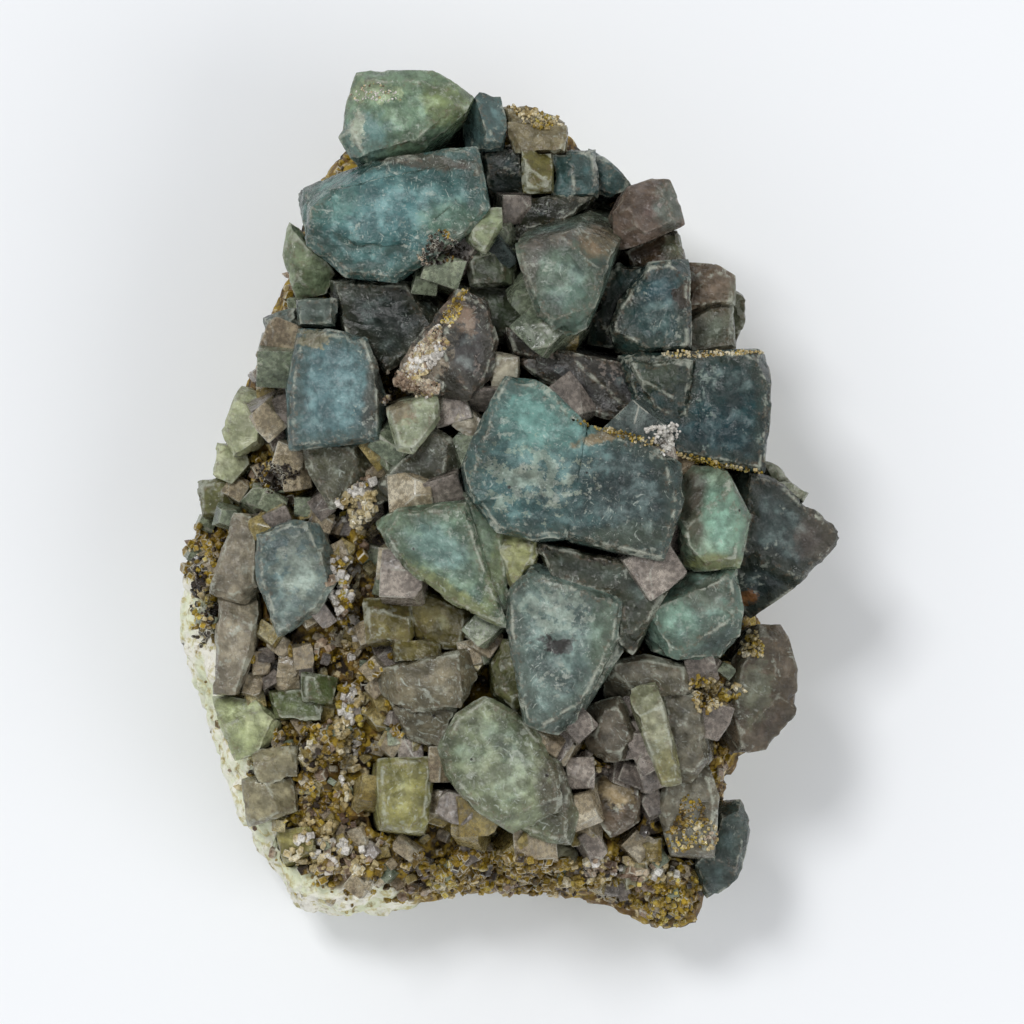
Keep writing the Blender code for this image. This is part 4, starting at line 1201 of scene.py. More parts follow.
@dataclass
class Crowd:
    """Small and middling crystals wedged between the large ones and across the rock."""

    spacing: float = 1.55
    look_round: float = 2.5
    deep_gap: float = 3.0
    bevel: float = 0.10
    sink: float = 1.3
    bare_edge: float = 2.6
    stoutness: float = 5.5
    lowest: float = 12.0
    bare_share: float = 0.10
    open_side: float = 8.0
    edge_half: float = 0.7
    edge_rise: float = 1.2
    slant: float = 0.35
    cut_shares: tuple[float, float] = (0.74, 0.92)
    tilt: float = 0.22

    def build(self, ground: Surfaces, effects: Effects) -> list[bpy.types.Object]:
        """Fill the gaps and the field with crystals.

        Args:
            ground: The surfaces to grow on.
            effects: The shared groups.

        Returns:
            One piece for each kind.
        """
        draw = np.random.default_rng(SEED + 3)
        kinds = {shade: Parts() for shade in Shade}
        for right in np.arange(18.0, 84.0, self.spacing):
            for down in np.arange(8.0, 94.0, self.spacing):
                spot = (right + draw.uniform(-0.8, 0.8), down + draw.uniform(-0.8, 0.8))
                self.grow(spot, ground, kinds, draw)
        pieces = []
        for shade, parts in kinds.items():
            look, slot = SHADE_LOOKS[shade]
            pieces.append(parts.finish(shade.value, look.material(shade.value + "_finish", effects), slot))
        return pieces

    def grow(self, spot: tuple[float, float], ground: Surfaces, kinds: dict,
             draw: np.random.Generator) -> None:
        """Grow one crystal at a spot if the rock is bare there.

        Args:
            spot: Millimetres right and down.
            ground: The surfaces to grow on.
            kinds: The parts of each kind.
            draw: Source of the random draws.
        """
        right, down = spot
        hit, _, on_rock = ground.below(right, down)
        luck = draw.uniform()
        if not on_rock or hit.z < self.lowest or luck < self.bare_share:
            return
        if any(math.hypot(right - h.right, down - h.down) < h.reach for h in HOLLOWS):
            return
        if fresh_gap(right, down) < self.bare_edge + draw.uniform(-0.6, 0.6):
            return
        ring = [ground.height(right + self.look_round * math.cos(a), down + self.look_round * math.sin(a))
                for a in np.arange(8) * math.tau / 8.0]
        edge = min(ring)
        high = sorted(ring)[5]
        if high - hit.z > self.deep_gap:
            crowded = any(area.reaches(right, down) for area in AREAS)
            top = hit.z + (high - hit.z) * draw.uniform(0.7, 1.0 if crowded else 0.85)
            half = draw.uniform(0.9, 1.8) if crowded else draw.uniform(0.6, 1.2)
            half = max(half, (top - hit.z) / self.stoutness)
        else:
            top = hit.z + draw.uniform(0.2, 1.2)
            half = 0.36 + 0.75 * draw.uniform() ** 2.5
        if edge < self.open_side:
            half = min(half, self.edge_half)
            top = min(top, hit.z + self.edge_rise)
        shares = next((area.shares for area in AREAS if area.reaches(right, down)), FIELD_SHARES)
        weights = np.array([share for _, share in shares])
        shade = shares[draw.choice(len(shares), p=weights / sum(share for _, share in shares))][0]
        points, faces, edges = self.crystal(half, hit.z - self.sink, top, draw)
        points[:, 0] += place(right, down)[0]
        points[:, 1] += place(right, down)[1]
        kinds[shade].add(points, faces, edges, draw.uniform())

    def crystal(self, half: float, low: float, top: float, draw: np.random.Generator) -> tuple:
        """Model one broken block that stands on the vertical through the origin.

        Args:
            half: About half its width in millimetres.
            low: Height of its foot in millimetres.
            top: Height of its top in millimetres.
            draw: Source of the random draws.

        Returns:
            Its points in millimetres, its triangles and which of them are worn edges.
        """
        work = bmesh.new()
        bmesh.ops.create_cube(work, size=2.0)
        rise = (top - low) / 2.0
        bmesh.ops.scale(work, vec=(half * draw.uniform(0.75, 1.3), half * draw.uniform(0.75, 1.3), rise),
                        verts=work.verts)
        lean = (draw.uniform(-self.slant, self.slant), draw.uniform(-self.slant, self.slant))
        for vert in work.verts:
            if vert.co.z > 0.0:
                vert.co.z += lean[0] * vert.co.x + lean[1] * vert.co.y
        for _ in range(draw.integers(2, 5)):
            facing = Vector((draw.normal(), draw.normal(), abs(draw.normal()) * 0.8)).normalized()
            reach = max(facing.dot(vert.co) for vert in work.verts)
            kept = draw.uniform(*self.cut_shares)
            geometry = work.verts[:] + work.edges[:] + work.faces[:]
            cut = bmesh.ops.bisect_plane(work, geom=geometry, plane_co=facing * reach * kept,
                                         plane_no=facing, clear_outer=True)
            rim = [item for item in cut["geom_cut"] if isinstance(item, bmesh.types.BMEdge)]
            bmesh.ops.edgeloop_fill(work, edges=rim)
        wear_edges(work, self.bevel)
        bmesh.ops.recalc_face_normals(work, faces=work.faces)
        turn = Matrix.Rotation(draw.uniform(0.0, math.tau), 3, "Z")
        for axis in "XY":
            turn = turn @ Matrix.Rotation(draw.uniform(-self.tilt, self.tilt), 3, axis)
        bmesh.ops.rotate(work, cent=(0.0, 0.0, rise * 0.4), matrix=turn, verts=work.verts)
        bmesh.ops.translate(work, vec=(0.0, 0.0, low + rise), verts=work.verts)
        work.verts.index_update()
        return read_shape(work)


def wear_edges(work: bmesh.types.BMesh, width: float) -> None:
    """Bevel all edges of a shape and mark the new faces as its second material."""
    worn = bmesh.ops.bevel(work, geom=work.edges[:], offset=width, offset_type="OFFSET", segments=1,
                           profile=0.5, affect="EDGES", clamp_overlap=True, material=-1)
    for face in worn["faces"]:
        face.material_index = 1


def read_shape(work: bmesh.types.BMesh) -> tuple[np.ndarray, np.ndarray, np.ndarray]:
    """Triangulate a shape, read its points, faces and worn edges, and free it."""
    bmesh.ops.triangulate(work, faces=work.faces)
    work.verts.index_update()
    points = np.array([vert.co for vert in work.verts])
    faces = np.array([[vert.index for vert in face.verts] for face in work.faces])
    edges = np.array([float(face.material_index) for face in work.faces])
    work.free()
    return (points, faces, edges)


class Grain(Enum):
    """Kinds of druse grain by their colour."""

    OCHRE = "ochre_grains"
    ROSE = "rose_grains"
    CREAM = "cream_grains"
    WHITE = "white_grains"
    YELLOW = "yellow_grains"
    DARK = "dark_grains"


GRAIN_LOOKS = {
    Grain.OCHRE: GrainLook("2b1a07", "80661c", "b99a30", 0.2),
    Grain.ROSE: GrainLook("66503f", "9c8670", "cdbca2"),
    Grain.CREAM: GrainLook("a08a55", "cbb98a", "ece2c4"),
    Grain.WHITE: GrainLook("c4bdb3", "e0dbd3", "f4f1ea"),
    Grain.YELLOW: GrainLook("705a14", "b3962f", "dcc866", 0.35),
    Grain.DARK: GrainLook("140d08", "2e2216", "4d4538", 0.1),
}


@dataclass(frozen=True)
class Crust:
    """An oval field of grains, seen from the crystal side."""

    right: float
    down: float
    wide: float
    tall: float
    kinds: tuple[tuple[Grain, float], ...]
    count: int
    size: float = 0.42
    turn: float = 0.0
    on_rock: bool = False


class GrainShapes:
    """The few small shapes that every grain is a turned and stretched copy of."""

    def __init__(self) -> None:
        """Model the shapes."""
        self.shapes = [self.cube(0.0), self.cube(0.3), self.cube(0.5), self.point(), self.nodule(8)]

    @staticmethod
    def cube(slant: float) -> tuple:
        """A small worn cube, slanted for a broken one."""
        work = bmesh.new()
        bmesh.ops.create_cube(work, size=1.5)
        for vert in work.verts:
            vert.co.x += slant * vert.co.z
            vert.co.y *= 1.0 - slant * 0.5
        wear_edges(work, 0.17)
        return read_shape(work)

    @staticmethod
    def point() -> tuple:
        """A six-sided crystal with a pointed end."""
        work = bmesh.new()
        bmesh.ops.create_cone(work, cap_ends=True, segments=6, radius1=0.62, radius2=0.55, depth=1.4)
        top = max(work.faces, key=lambda face: face.calc_center_median().z)
        bmesh.ops.poke(work, faces=[top], offset=0.55)
        return read_shape(work)

    @staticmethod
    def nodule(seed: int) -> tuple:
        """An uneven rounded grain."""
        work = bmesh.new()
        bmesh.ops.create_icosphere(work, subdivisions=1, radius=0.85)
        for vert in work.verts:
            vert.co *= 1.0 + 0.28 * GRIT.smooth(np.array([vert.co]) + seed * 3.7, 0.8)[0]
        return read_shape(work)


@dataclass
class Druse:
    """All the small grains that grew on the rock and over the seams."""

    crusts: tuple[Crust, ...]
    rock_count: int = 2900
    smallest: float = 0.38
    spread: float = 0.95
    lowest: float = 11.5
    fresh_width: float = 2.8
    fresh_share: float = 0.95
    beds: dict = field(default_factory=dict)

    def build(self, ground: Surfaces, rock: bpy.types.Object, effects: Effects) -> list[bpy.types.Object]:
        """Scatter the grains and join them into one piece for each kind.

        Args:
            ground: The surfaces to grow on.
            rock: The rock's skin.
            effects: The shared groups.

        Returns:
            The finished pieces.
        """
        draw = np.random.default_rng(SEED + 5)
        self.beds = {kind: [] for kind in Grain}
        for crust in self.crusts:
            self.scatter(crust, ground, draw)
        self.cover_rock(rock, ground, draw)
        return self.join(effects, draw)

    def scatter(self, crust: Crust, ground: Surfaces, draw: np.random.Generator) -> None:
        """Drop the grains of a field onto what lies below it.

        Args:
            crust: The field.
            ground: The surfaces to grow on.
            draw: Source of the random draws.
        """
        kinds = [kind for kind, _ in crust.kinds]
        shares = np.array([share for _, share in crust.kinds])
        turn = math.radians(crust.turn)
        for _ in range(crust.count):
            angle = draw.uniform(0.0, math.tau)
            reach = math.sqrt(draw.uniform(0.0, 1.0)) * (1.0 + 0.25 * math.sin(3.0 * angle + crust.right))
            across = math.cos(angle) * reach * crust.wide
            along = math.sin(angle) * reach * crust.tall
            right = crust.right + across * math.cos(turn) - along * math.sin(turn)
            down = crust.down + across * math.sin(turn) + along * math.cos(turn)
            spread = GRIT.layered(np.array([[right, down, 0.0]]), 2.8, 2)[0]
            share = min(max(0.5 + 0.55 * spread + draw.uniform(-0.22, 0.22), 0.0), 0.999)
            kind = kinds[int(np.searchsorted(np.cumsum(shares / shares.sum()), share))]
            size = crust.size * draw.uniform(0.6, 1.35)
            hit, normal, on_rock = ground.below(right, down)
            if hit is None or (crust.on_rock and not on_rock):
                continue
            self.beds[kind].append((np.array(hit), np.array(normal), size))

    def cover_rock(self, rock: bpy.types.Object, ground: Surfaces, draw: np.random.Generator) -> None:
        """Grow grains over the bare stained rock, thickest on its lower left.

        Args:
            rock: The rock's skin.
            ground: The surfaces to grow on.
            draw: Source of the random draws.
        """
        points = read_points(rock.data)
        normals = read_normals(rock.data)
        fair = np.flatnonzero((points[:, 2] > self.lowest) & (normals[:, 2] > 0.05))
        chosen = draw.choice(fair, size=min(self.rock_count * 3, len(fair)), replace=False)
        grown = GRIT.layered(points[chosen], 4.5, 3)
        kept = 0
        for index, value in zip(chosen, grown):
            if kept >= self.rock_count:
                break
            spot = points[index] + normals[index] * 0.6
            above = ground.tree.ray_cast(Vector(spot), Vector((0.0, 0.0, 1.0)))[0]
            if above is not None or (value < -0.25 and draw.uniform() < 0.7):
                continue
            gap = fresh_gap(points[index][0] + MIDDLE_RIGHT, MIDDLE_DOWN - points[index][1])
            if gap < self.fresh_width and draw.uniform() < self.fresh_share:
                continue
            kind = self.kind_at(value, draw)
            size = self.smallest + self.spread * draw.uniform() ** 2.2
            self.beds[kind].append((points[index], normals[index], size))
            kept += 1

    @staticmethod
    def kind_at(value: float, draw: np.random.Generator) -> Grain:
        """Choose the kind of grain for a place on the rock.

        Args:
            value: Noise at the place.
            draw: Source of the random draws.

        Returns:
            The kind.
        """
        pick = draw.uniform()
        if value > 0.45:
            return Grain.ROSE if pick < 0.35 else (Grain.CREAM if pick < 0.6 else Grain.OCHRE)
        if value > 0.0:
            return Grain.ROSE if pick < 0.15 else (Grain.OCHRE if pick < 0.75 else Grain.YELLOW)
        return Grain.OCHRE if pick < 0.5 else (Grain.DARK if pick < 0.82 else Grain.YELLOW)

    def join(self, effects: Effects, draw: np.random.Generator) -> list[bpy.types.Object]:
        """Make one mesh of all the grains of each kind.

        Args:
            effects: The shared groups.
            draw: Source of the random draws.

        Returns:
            The finished pieces.
        """
        shapes = GrainShapes().shapes
        pieces = []
        for kind, beds in self.beds.items():
            parts = Parts()
            for spot, normal, size in beds:
                shape, sides, edges = shapes[draw.integers(len(shapes))]
                turn = Vector(normal).to_track_quat("Z", "Y").to_matrix()
                lean = Matrix.Rotation(draw.uniform(-0.6, 0.6), 3, "X") @ Matrix.Rotation(
                    draw.uniform(0.0, math.tau), 3, "Z")
                stretch = np.array([draw.uniform(0.75, 1.2), draw.uniform(0.75, 1.2), draw.uniform(0.8, 1.4)])
                body = (shape * stretch * size * 0.5) @ np.array(turn @ lean).T
                parts.add(body + spot + normal * size * 0.08, sides, edges, draw.uniform())
            material = GRAIN_LOOKS[kind].material(kind.value + "_finish", effects)
            pieces.append(parts.finish(kind.value, material, Slot.ROCK))
        return pieces


@dataclass(frozen=True)
class Studio:
    """The pale floor, the soft lights and the camera straight above."""

    middle_right: float = 51.2
    middle_down: float = 51.2
    height: float = 1.442
    lens: float = 500.0
    floor_side: float = 3.0
    key_power: float = 40.0
    fill_power: float = 18.0
    sky: float = 0.60
    bounces: int = 3
    soft_bounces: int = 2

    def build(self) -> None:
        """Set the stage."""
        self.floor()
        self.lights()
        self.camera()

    def floor(self) -> None:
        """Lay the plain pale floor."""
        work = bmesh.new()
        bmesh.ops.create_grid(work, x_segments=1, y_segments=1, size=self.floor_side / 2.0)
        mesh = bpy.data.meshes.new("floor")
        work.to_mesh(mesh)
        work.free()
        material = bpy.data.materials.new("pale_floor")
        material.use_nodes = True
        shader = material.node_tree.nodes["Principled BSDF"]
        shader.inputs["Base Color"].default_value = tint("eff1f4")
        shader.inputs["Roughness"].default_value = 0.9
        shader.inputs["Specular IOR Level"].default_value = 0.2
        mesh.materials.append(material)
        put("floor", mesh)

    def lights(self) -> None:
        """Hang a large soft light upper left, a weak one at the right, and set a pale sky."""
        self.area("key_light", (-0.95, 1.15, 2.75), 0.75, self.key_power)
        self.area("fill_light", (1.80, -0.90, 2.00), 1.80, self.fill_power)
        world = bpy.data.worlds.new("pale_sky")
        world.use_nodes = True
        sky = world.node_tree.nodes["Background"]
        sky.inputs[0].default_value = (0.98, 0.99, 1.0, 1.0)
        sky.inputs[1].default_value = self.sky
        bpy.context.scene.world = world
        bpy.context.scene.view_settings.view_transform = "Standard"
        paths = bpy.context.scene.cycles
        paths.max_bounces = self.bounces
        paths.diffuse_bounces = self.soft_bounces
        paths.glossy_bounces = self.soft_bounces
        paths.transmission_bounces = self.bounces
        paths.caustics_reflective = False
        paths.caustics_refractive = False

    @staticmethod
    def area(name: str, where: tuple[float, float, float], size: float, power: float) -> None:
        """Hang one square light that looks at the specimen."""
        light = bpy.data.lights.new(name, "AREA")
        light.size = size
        light.energy = power
        lamp = put(name, light)
        lamp.location = where
        lamp.rotation_euler = (Vector((0.0, 0.0, 0.02)) - Vector(where)).to_track_quat("-Z", "Y").to_euler()

    def camera(self) -> None:
        """Look straight down, with the specimen's top at the picture's top."""
        lens = bpy.data.cameras.new("camera")
        lens.lens = self.lens
        lens.sensor_width = 36.0
        lens.clip_end = 10.0
        camera = put("camera", lens)
        across, up, _ = place(self.middle_right, self.middle_down)
        camera.location = (across * MM, up * MM, self.height)
        bpy.context.scene.camera = camera


FINISHES = {
    "shield_crystal": Finish(Slot.TEAL, "6b8583", "8da199", "435858", lines=0.6, turn=60.0,
                             edge_highlight=0.3, patches=(
        Patch(52.6, 27.6, 1.0, 3.6, "85787a", 0.7, 20.0),
        Patch(55.2, 24.2, 3.0, 0.9, "83767a", 0.8, -10.0),
        Patch(59.6, 24.3, 2.0, 1.7, "a8917a", 0.75),
        Patch(57.6, 31.0, 1.4, 2.6, "7f9d99", 0.6),
    )),
    "central_block": Finish(Slot.TEAL, "5d8087", "6c969e", "40545a", lines=0.62, turn=25.0,
                            specks=0.2, patches=(
        Patch(64.0, 49.8, 5.6, 6.6, "4c5e64", 0.85, 0.0, 0.5, 0.5),
        Patch(54.4, 41.6, 4.3, 3.9, "8dbabd", 0.9, 0.0, 0.3, 0.4),
        Patch(49.6, 50.2, 3.4, 2.6, "6a939b", 0.7),
        Patch(62.2, 53.8, 4.4, 1.5, "6a766c", 0.7, -10.0),
        Patch(52.6, 47.8, 3.2, 2.2, "c2cbc3", 0.4, 0.0, 2.2, 0.1),
        Patch(61.5, 43.3, 4.2, 0.6, "b5a387", 0.85, -17.0, 0.5, 0.3),
    )),
    "blue_block": Finish(Slot.TEAL, "568489", "6a979e", "4c7679", lines=0.7, turn=12.0, edge_highlight=0.3, patches=(
        Patch(38.8, 21.4, 6.0, 2.8, "75a6b2", 0.8, 10.0, 0.4, 0.6),
        Patch(45.0, 22.6, 3.0, 2.2, "7d9a8a", 0.7),
        Patch(33.0, 20.2, 3.4, 2.2, "6d9a94", 0.5),
        Patch(41.5, 16.2, 7.0, 0.7, "7c6a62", 0.8, 8.0, 0.5, 0.3),
    )),
    "shell_crystal_upper": Finish(Slot.TEAL, "8ba89f", "adc4b8", "667671", turn=80.0, patches=(
        Patch(69.3, 50.4, 1.3, 4.2, "7a6a64", 0.85),
        Patch(72.2, 52.0, 1.9, 3.1, "a9d2ca", 0.9, -15.0, 0.3, 0.4),
        Patch(71.0, 56.2, 3.0, 0.8, "a7a974", 0.8),
    )),
    "shell_crystal_lower": Finish(Slot.TEAL, "7d9c9a", "9bb5b1", "56696c", lines=0.6, turn=40.0, patches=(
        Patch(66.9, 61.0, 2.3, 1.8, "9dbfb9", 0.9),
        Patch(70.7, 59.3, 2.2, 1.7, "8b918c", 0.8, 0.0, 0.8),
        Patch(71.8, 63.9, 2.1, 1.7, "4a5f64", 0.8),
    )),
    "teal_cube": Finish(Slot.TEAL, "365d61", "466c71", "2c4649", turn=85.0, patches=(
        Patch(66.0, 28.2, 3.0, 2.0, "4f7888", 0.7),
        Patch(60.6, 31.0, 1.7, 3.6, "434f56", 0.85),
        Patch(68.2, 29.4, 0.9, 1.4, "5a3216", 0.9, 0.0, 0.9, 0.2),
    )),
    "upper_teal_cubes": Finish(Slot.TEAL, "4f7780", "6c96a0", "39565c", turn=30.0),
    "leaf_crystal": Finish(Slot.SAGE, "7c988e", "a2b9ab", "566c66", lines=0.6, turn=35.0, patches=(
        Patch(44.0, 54.6, 3.4, 1.8, "96b6ba", 0.8, 30.0),
        Patch(45.4, 59.6, 5.6, 0.9, "bfc596", 0.75, 34.0, 0.4, 0.4),
        Patch(49.7, 57.0, 0.9, 5.4, "a5b18a", 0.7, 12.0),
    )),
    "bottom_centre_crystal": Finish(Slot.SAGE, "8f9d8a", "b0bba5", "656f62", lines=0.75, turn=50.0, patches=(
        Patch(55.7, 79.6, 1.8, 4.4, "786d69", 0.85, -10.0),
        Patch(50.0, 77.4, 3.2, 2.8, "b3bcab", 0.5, 0.0, 1.1, 0.2),
    )),
    "top_crystal": Finish(Slot.SAGE, "8caa9b", "a5bfae", "66806f", turn=70.0, specks=0.22, patches=(
        Patch(36.4, 14.0, 2.6, 2.6, "84a9b2", 0.8),
        Patch(44.6, 10.6, 2.4, 2.2, "a7b37f", 0.7),
        Patch(37.6, 9.5, 2.6, 1.0, "c5d5bc", 0.8, 0.0, 0.9, 0.2),
        # Painted highlight: small white glints on the top crystal
        Patch(35.7, 13.2, 0.8, 1.6, "e0e9e3", 0.8, 0.0, 1.0, 0.2),
    )),
    "grey_green_pair": Finish(Slot.SAGE, "6c7b6b", "859382", "4a5549"),
    "green_block": Finish(Slot.SAGE, "77875f", "93a076", "535f3e"),
    "lower_centre_crystal": Finish(Slot.BLUE_GREY, "71878a", "95abad", "4e6064", lines=0.65,
                                   turn=75.0, patches=(
        Patch(60.2, 63.6, 1.5, 4.0, "7d9182", 0.7),
        # Painted highlight: ragged white glints on the lower centre crystal
        Patch(55.0, 60.8, 2.8, 1.7, "c3cfcd", 0.4, 0.0, 1.8, 0.2),
        Patch(55.6, 64.4, 1.7, 0.8, "40221b", 0.9, 10.0, 0.9, 0.2),
    )),
    "left_blue_cube": Finish(Slot.BLUE_GREY, "6b8993", "83a6b1", "50646c", turn=82.0, patches=(
        Patch(33.6, 39.0, 3.0, 4.2, "85abba", 0.6, 0.0, 0.4, 0.6),
        Patch(37.6, 38.6, 0.9, 5.0, "7c7472", 0.7, 8.0),
        Patch(31.6, 34.0, 1.7, 0.9, "c0b9a3", 0.85, 0.0, 0.8, 0.2),
    )),
    "small_blue_block": Finish(Slot.BLUE_GREY, "71858a", "94a5a8", "4f5e61"),
    "left_hex_crystal": Finish(Slot.BLUE_GREY, "8199a2", "a3b5b9", "5b6d74", lines=0.55, turn=15.0, patches=(
        Patch(30.0, 56.6, 2.6, 3.0, "c3c9c0", 0.3, 0.0, 1.4, 0.15),
        Patch(33.9, 53.0, 1.2, 1.6, "a8957c", 0.8),
    )),
    "bottom_right_lobe": Finish(Slot.BLUE_GREY, "5f777d", "7d9398", "435459"),
    "blue_shoulder": Finish(Slot.BLUE_GREY, "698995", "86a5ae", "4c6770"),
    "ridge_crystal": Finish(Slot.SMOKE, "56555a", "77757a", "3a383b", rim="c9b9ae", lines=0.6,
                            turn=65.0, patches=(
        Patch(42.0, 37.0, 3.6, 1.6, "d8cdc4", 0.75, -50.0, 0.9, 0.3),
        Patch(45.6, 31.2, 1.2, 2.6, "bba69b", 0.7, -40.0, 0.9, 0.3),
    )),
    "smoky_crystal": Finish(Slot.SMOKE, "5e625d", "8a8f88", "3f413c", turn=35.0, lines=0.6),
    "olive_left_crystal": Finish(Slot.SMOKE, "6c6e63", "888a7c", "4a4b41", turn=70.0, lines=0.6),
    "fractured_slabs": Finish(Slot.SMOKE, "938e80", "b2ab9b", "655f57", lines=0.85, turn=28.0),
    "lens_crystal": Finish(Slot.SMOKE, "77716b", "958e88", "534d48", lines=0.6),
    "grey_cluster": Finish(Slot.SMOKE, "8f8c85", "b0ada5", "605d58", lines=0.6),
    "lower_left_cubes": Finish(Slot.SMOKE, "bab5a2", "d6d1bb", "878271"),
    "pale_wedge": Finish(Slot.PALE_GREEN, "c4d0be", "dbe3d1", "8f9a88", turn=60.0, patches=(
        Patch(40.0, 41.2, 1.6, 1.1, "b79a8c", 0.7, 30.0, 0.8, 0.3),
    )),
    "white_chip": Finish(Slot.PALE_GREEN, "d3ccc3", "e5e0d8", "a99d92", rim="efebe4"),
    "yellow_pyramid": Finish(Slot.PALE_GREEN, "b9bf95", "d3d8af", "8a8f66"),
    "white_studs": Finish(Slot.PALE_GREEN, "d6d2c9", "e8e5de", "aca498", rim="f2efe9"),
    "upright_leaf": Finish(Slot.PALE_GREEN, "b0c0a6", "cbd7bf", "828f7a"),
    "green_corner_crystal": Finish(Slot.PALE_GREEN, "a0b39b", "bac9b3", "78886f"),
    "left_edge_crystals": Finish(Slot.PALE_GREEN, "dde6cb", "f1f6e5", "aeb996"),
    "blade_crystal": Finish(Slot.PALE_GREEN, "b6bba8", "d3d4c5", "8c8e6d", patches=(
        Patch(66.8, 76.6, 1.2, 1.8, "b5b077", 0.8),
    )),
    "right_rim_cubes": Finish(Slot.PALE_GREEN, "a6afa2", "bfc6b9", "7a8377"),
    "cream_block": Finish(Slot.PALE_GREEN, "a89f86", "c5bda6", "7b6f55"),
    "pale_green_left": Finish(Slot.PALE_GREEN, "d3dfbd", "e9f1d3", "a8b389"),
    "bottom_edge_cubes": Finish(Slot.PALE_GREEN, "bcbfae", "d4d5c7", "8b8b74"),
    "bottom_right_cube": Finish(Slot.PALE_GREEN, "b5b39b", "cdcbb7", "88846a"),
    "under_slab": Finish(Slot.SLATE, "4c5750", "65716a", "33392f", turn=10.0, patches=(
        Patch(60.4, 55.6, 1.4, 0.7, "3a1c16", 0.9, 0.0, 0.6, 0.2),
    )),
    "purple_slabs": Finish(Slot.SLATE, "4a494f", "66646b", "323034", rim="a99c92", turn=15.0, lines=0.6),
    "slate_slab": Finish(Slot.SLATE, "44504f", "6b7674", "2c3333", turn=10.0, lines=0.6),
    "right_tip_crystal": Finish(Slot.SLATE, "48595f", "637378", "333f44", turn=48.0, patches=(
        Patch(81.6, 53.6, 2.2, 2.6, "7d7472", 0.8),
        Patch(74.4, 59.8, 1.1, 0.8, "b8864a", 0.8, 0.0, 0.8, 0.2),
    )),
    "dark_ledge": Finish(Slot.SLATE, "3c443f", "56605a", "272c28"),
    "deep_teal_block": Finish(Slot.DEEP_TEAL, "124f58", "1d6670", "0e363c", rim="9fb0a4", turn=88.0, patches=(
        Patch(70.6, 38.0, 5.6, 2.6, "39595c", 0.8, 0.0, 0.5, 0.3),
        Patch(70.4, 43.6, 4.6, 2.2, "0f5a68", 0.7, 8.0, 0.4, 0.5),
        Patch(65.6, 37.6, 2.4, 1.6, "748070", 0.6, 0.0, 0.9, 0.3),
    )),
    "teal_ledge": Finish(Slot.DEEP_TEAL, "1f4047", "305860", "13282c"),
    "rounded_block": Finish(Slot.MAUVE, "8a7a79", "a69694", "655756", rim="bcb0aa", turn=30.0,
                            edge_highlight=0.12, patches=(
        Patch(66.9, 20.6, 1.4, 2.6, "8fa1a3", 0.85),
    )),
    "brown_block": Finish(Slot.MAUVE, "5e4c44", "796459", "3c2d26", patches=(
        Patch(67.4, 24.8, 1.1, 1.4, "8f9d8a", 0.7),
    )),
    "tall_prisms": Finish(Slot.MAUVE, "aea79f", "cdc6bb", "7f7871", turn=80.0, lines=0.6),
    "mauve_crystal": Finish(Slot.MAUVE, "776a62", "94867c", "52463f", patches=(
        Patch(61.4, 79.0, 1.5, 1.6, "cdbd9f", 0.8, 0.0, 0.8, 0.3),
    )),
    "right_edge_blocks": Finish(Slot.MAUVE, "8b7970", "a3948a", "5f5049", patches=(
        Patch(71.0, 33.0, 2.4, 2.2, "8c9a92", 0.8),
        Patch(73.9, 31.6, 1.4, 3.2, "9dab9f", 0.8),
    )),
    "right_mauve_block": Finish(Slot.MAUVE, "756961", "90847a", "4d433c", edge_highlight=0.25, patches=(
        Patch(75.2, 69.0, 1.8, 3.0, "8f968a", 0.7, 0.0, 0.8, 0.3),
    )),
    "olive_edge_crystal": Finish(Slot.OLIVE, "898d5e", "a5a878", "62643f"),
    "olive_small_crystal": Finish(Slot.OLIVE, "7b8056", "979b6f", "565a39"),
    "olive_blocks": Finish(Slot.OLIVE, "8a834f", "a59d67", "5c552f"),
    "olive_cube": Finish(Slot.OLIVE, "8d894f", "a8a369", "625e30"),
    "citron_block": Finish(Slot.CITRON, "a8a76d", "c6c48c", "76733f", turn=88.0, lines=0.7),
    "corner_cube": Finish(Slot.CITRON, "bdb87b", "d3cf98", "8c8650"),
}

SUGAR = (
    (Grain.OCHRE, 0.35), (Grain.YELLOW, 0.25), (Grain.CREAM, 0.2), (Grain.WHITE, 0.05), (Grain.ROSE, 0.15),
)
SNOW = ((Grain.WHITE, 0.7), (Grain.CREAM, 0.12), (Grain.ROSE, 0.18))
IRON = ((Grain.OCHRE, 0.3), (Grain.DARK, 0.6), (Grain.ROSE, 0.1))
STRAW = ((Grain.YELLOW, 0.4), (Grain.CREAM, 0.45), (Grain.OCHRE, 0.15))
VEIN = ((Grain.CREAM, 0.5), (Grain.WHITE, 0.25), (Grain.YELLOW, 0.15), (Grain.ROSE, 0.1))
GOLD = ((Grain.OCHRE, 0.45), (Grain.YELLOW, 0.2), (Grain.CREAM, 0.1), (Grain.DARK, 0.25))
LIME = ((Grain.YELLOW, 0.55), (Grain.OCHRE, 0.3), (Grain.CREAM, 0.15))

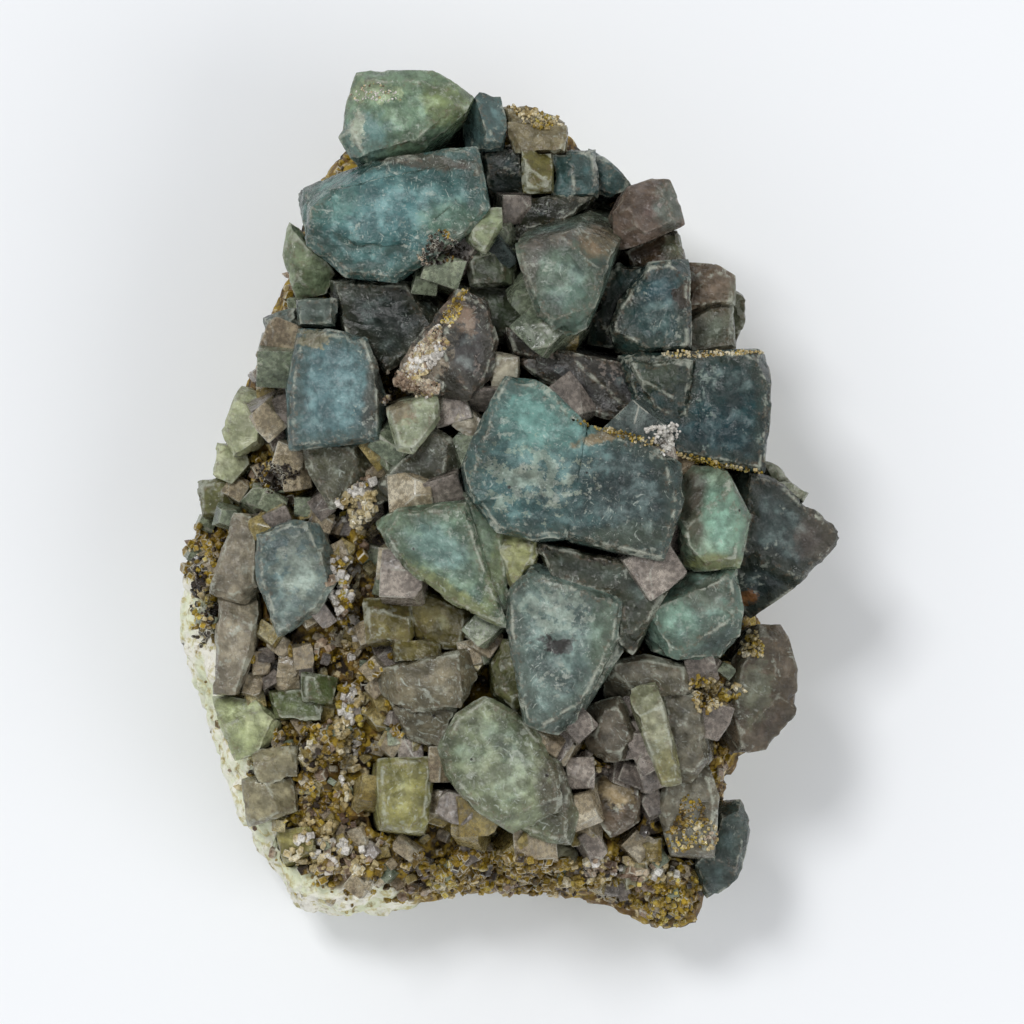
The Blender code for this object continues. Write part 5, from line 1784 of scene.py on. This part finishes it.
CRUSTS = (
    Crust(42.0, 36.4, 4.4, 1.1, SNOW, 700, 0.5, -50.0),
    Crust(41.6, 38.6, 2.6, 0.9, SNOW, 300, 0.5, 20.0),
    Crust(45.6, 31.0, 2.2, 0.6, SUGAR, 120, 0.36, -60.0),
    Crust(61.6, 43.4, 4.0, 0.35, STRAW, 120, 0.32, 17.0),
    Crust(66.2, 43.8, 1.5, 1.5, SNOW, 150, 0.42),
    Crust(71.6, 46.4, 4.2, 0.35, STRAW, 150, 0.36, 12.0),
    Crust(70.5, 35.5, 5.4, 0.3, STRAW, 140, 0.32, -2.0),
    Crust(44.4, 25.2, 2.4, 1.6, IRON, 200, 0.36),
    Crust(53.6, 11.6, 3.2, 1.1, STRAW, 220, 0.42, 20.0),
    Crust(71.2, 69.2, 2.6, 1.6, STRAW, 220, 0.5),
    Crust(75.2, 64.6, 1.2, 1.2, STRAW, 90, 0.46),
    Crust(66.6, 90.0, 3.4, 2.4, LIME, 150, 0.6),
    Crust(69.2, 82.6, 2.2, 2.7, SUGAR, 200, 0.42),
    Crust(52.5, 87.4, 13.0, 2.2, SUGAR, 620, 0.85),
    Crust(36.0, 50.6, 1.8, 2.6, VEIN, 100, 0.8),
    Crust(34.6, 60.0, 1.3, 5.4, VEIN, 150, 0.8, -6.0),
    Crust(35.0, 73.0, 1.2, 6.0, VEIN, 150, 0.85, 4.0),
    Crust(33.0, 85.0, 4.6, 2.4, VEIN, 130, 0.85, 20.0),
    Crust(24.0, 61.0, 2.2, 6.0, GOLD, 160, 0.75, on_rock=True),
    Crust(29.6, 77.0, 4.0, 7.0, GOLD, 240, 0.75, on_rock=True),
    Crust(40.6, 67.0, 3.6, 6.0, GOLD, 170, 0.75, on_rock=True),
    Crust(20.6, 58.6, 1.8, 5.4, GOLD, 200, 0.7, on_rock=True),
    Crust(27.6, 47.6, 2.0, 1.4, ((Grain.DARK, 0.8), (Grain.WHITE, 0.2)), 160, 0.36),
    Crust(37.6, 9.6, 2.4, 0.9, SNOW, 90, 0.22),
)


def main() -> None:
    """Build the studio, the crystals, the rock and the druse in order."""
    logging.basicConfig(level=logging.INFO, format="%(message)s")
    Studio().build()
    effects = Effects()
    skins = []
    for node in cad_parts:
        if node != "matrix":
            skins.append(CrystalSkin(node, FINISHES[node]).build(effects))
    rock = RockSkin().build(effects)
    ground = Surfaces(skins, [rock])
    small = Crowd().build(ground, effects)
    ground = Surfaces(skins, [rock] + small)
    Druse(CRUSTS).build(ground, rock, effects)


if __name__ == "__main__":
    main()
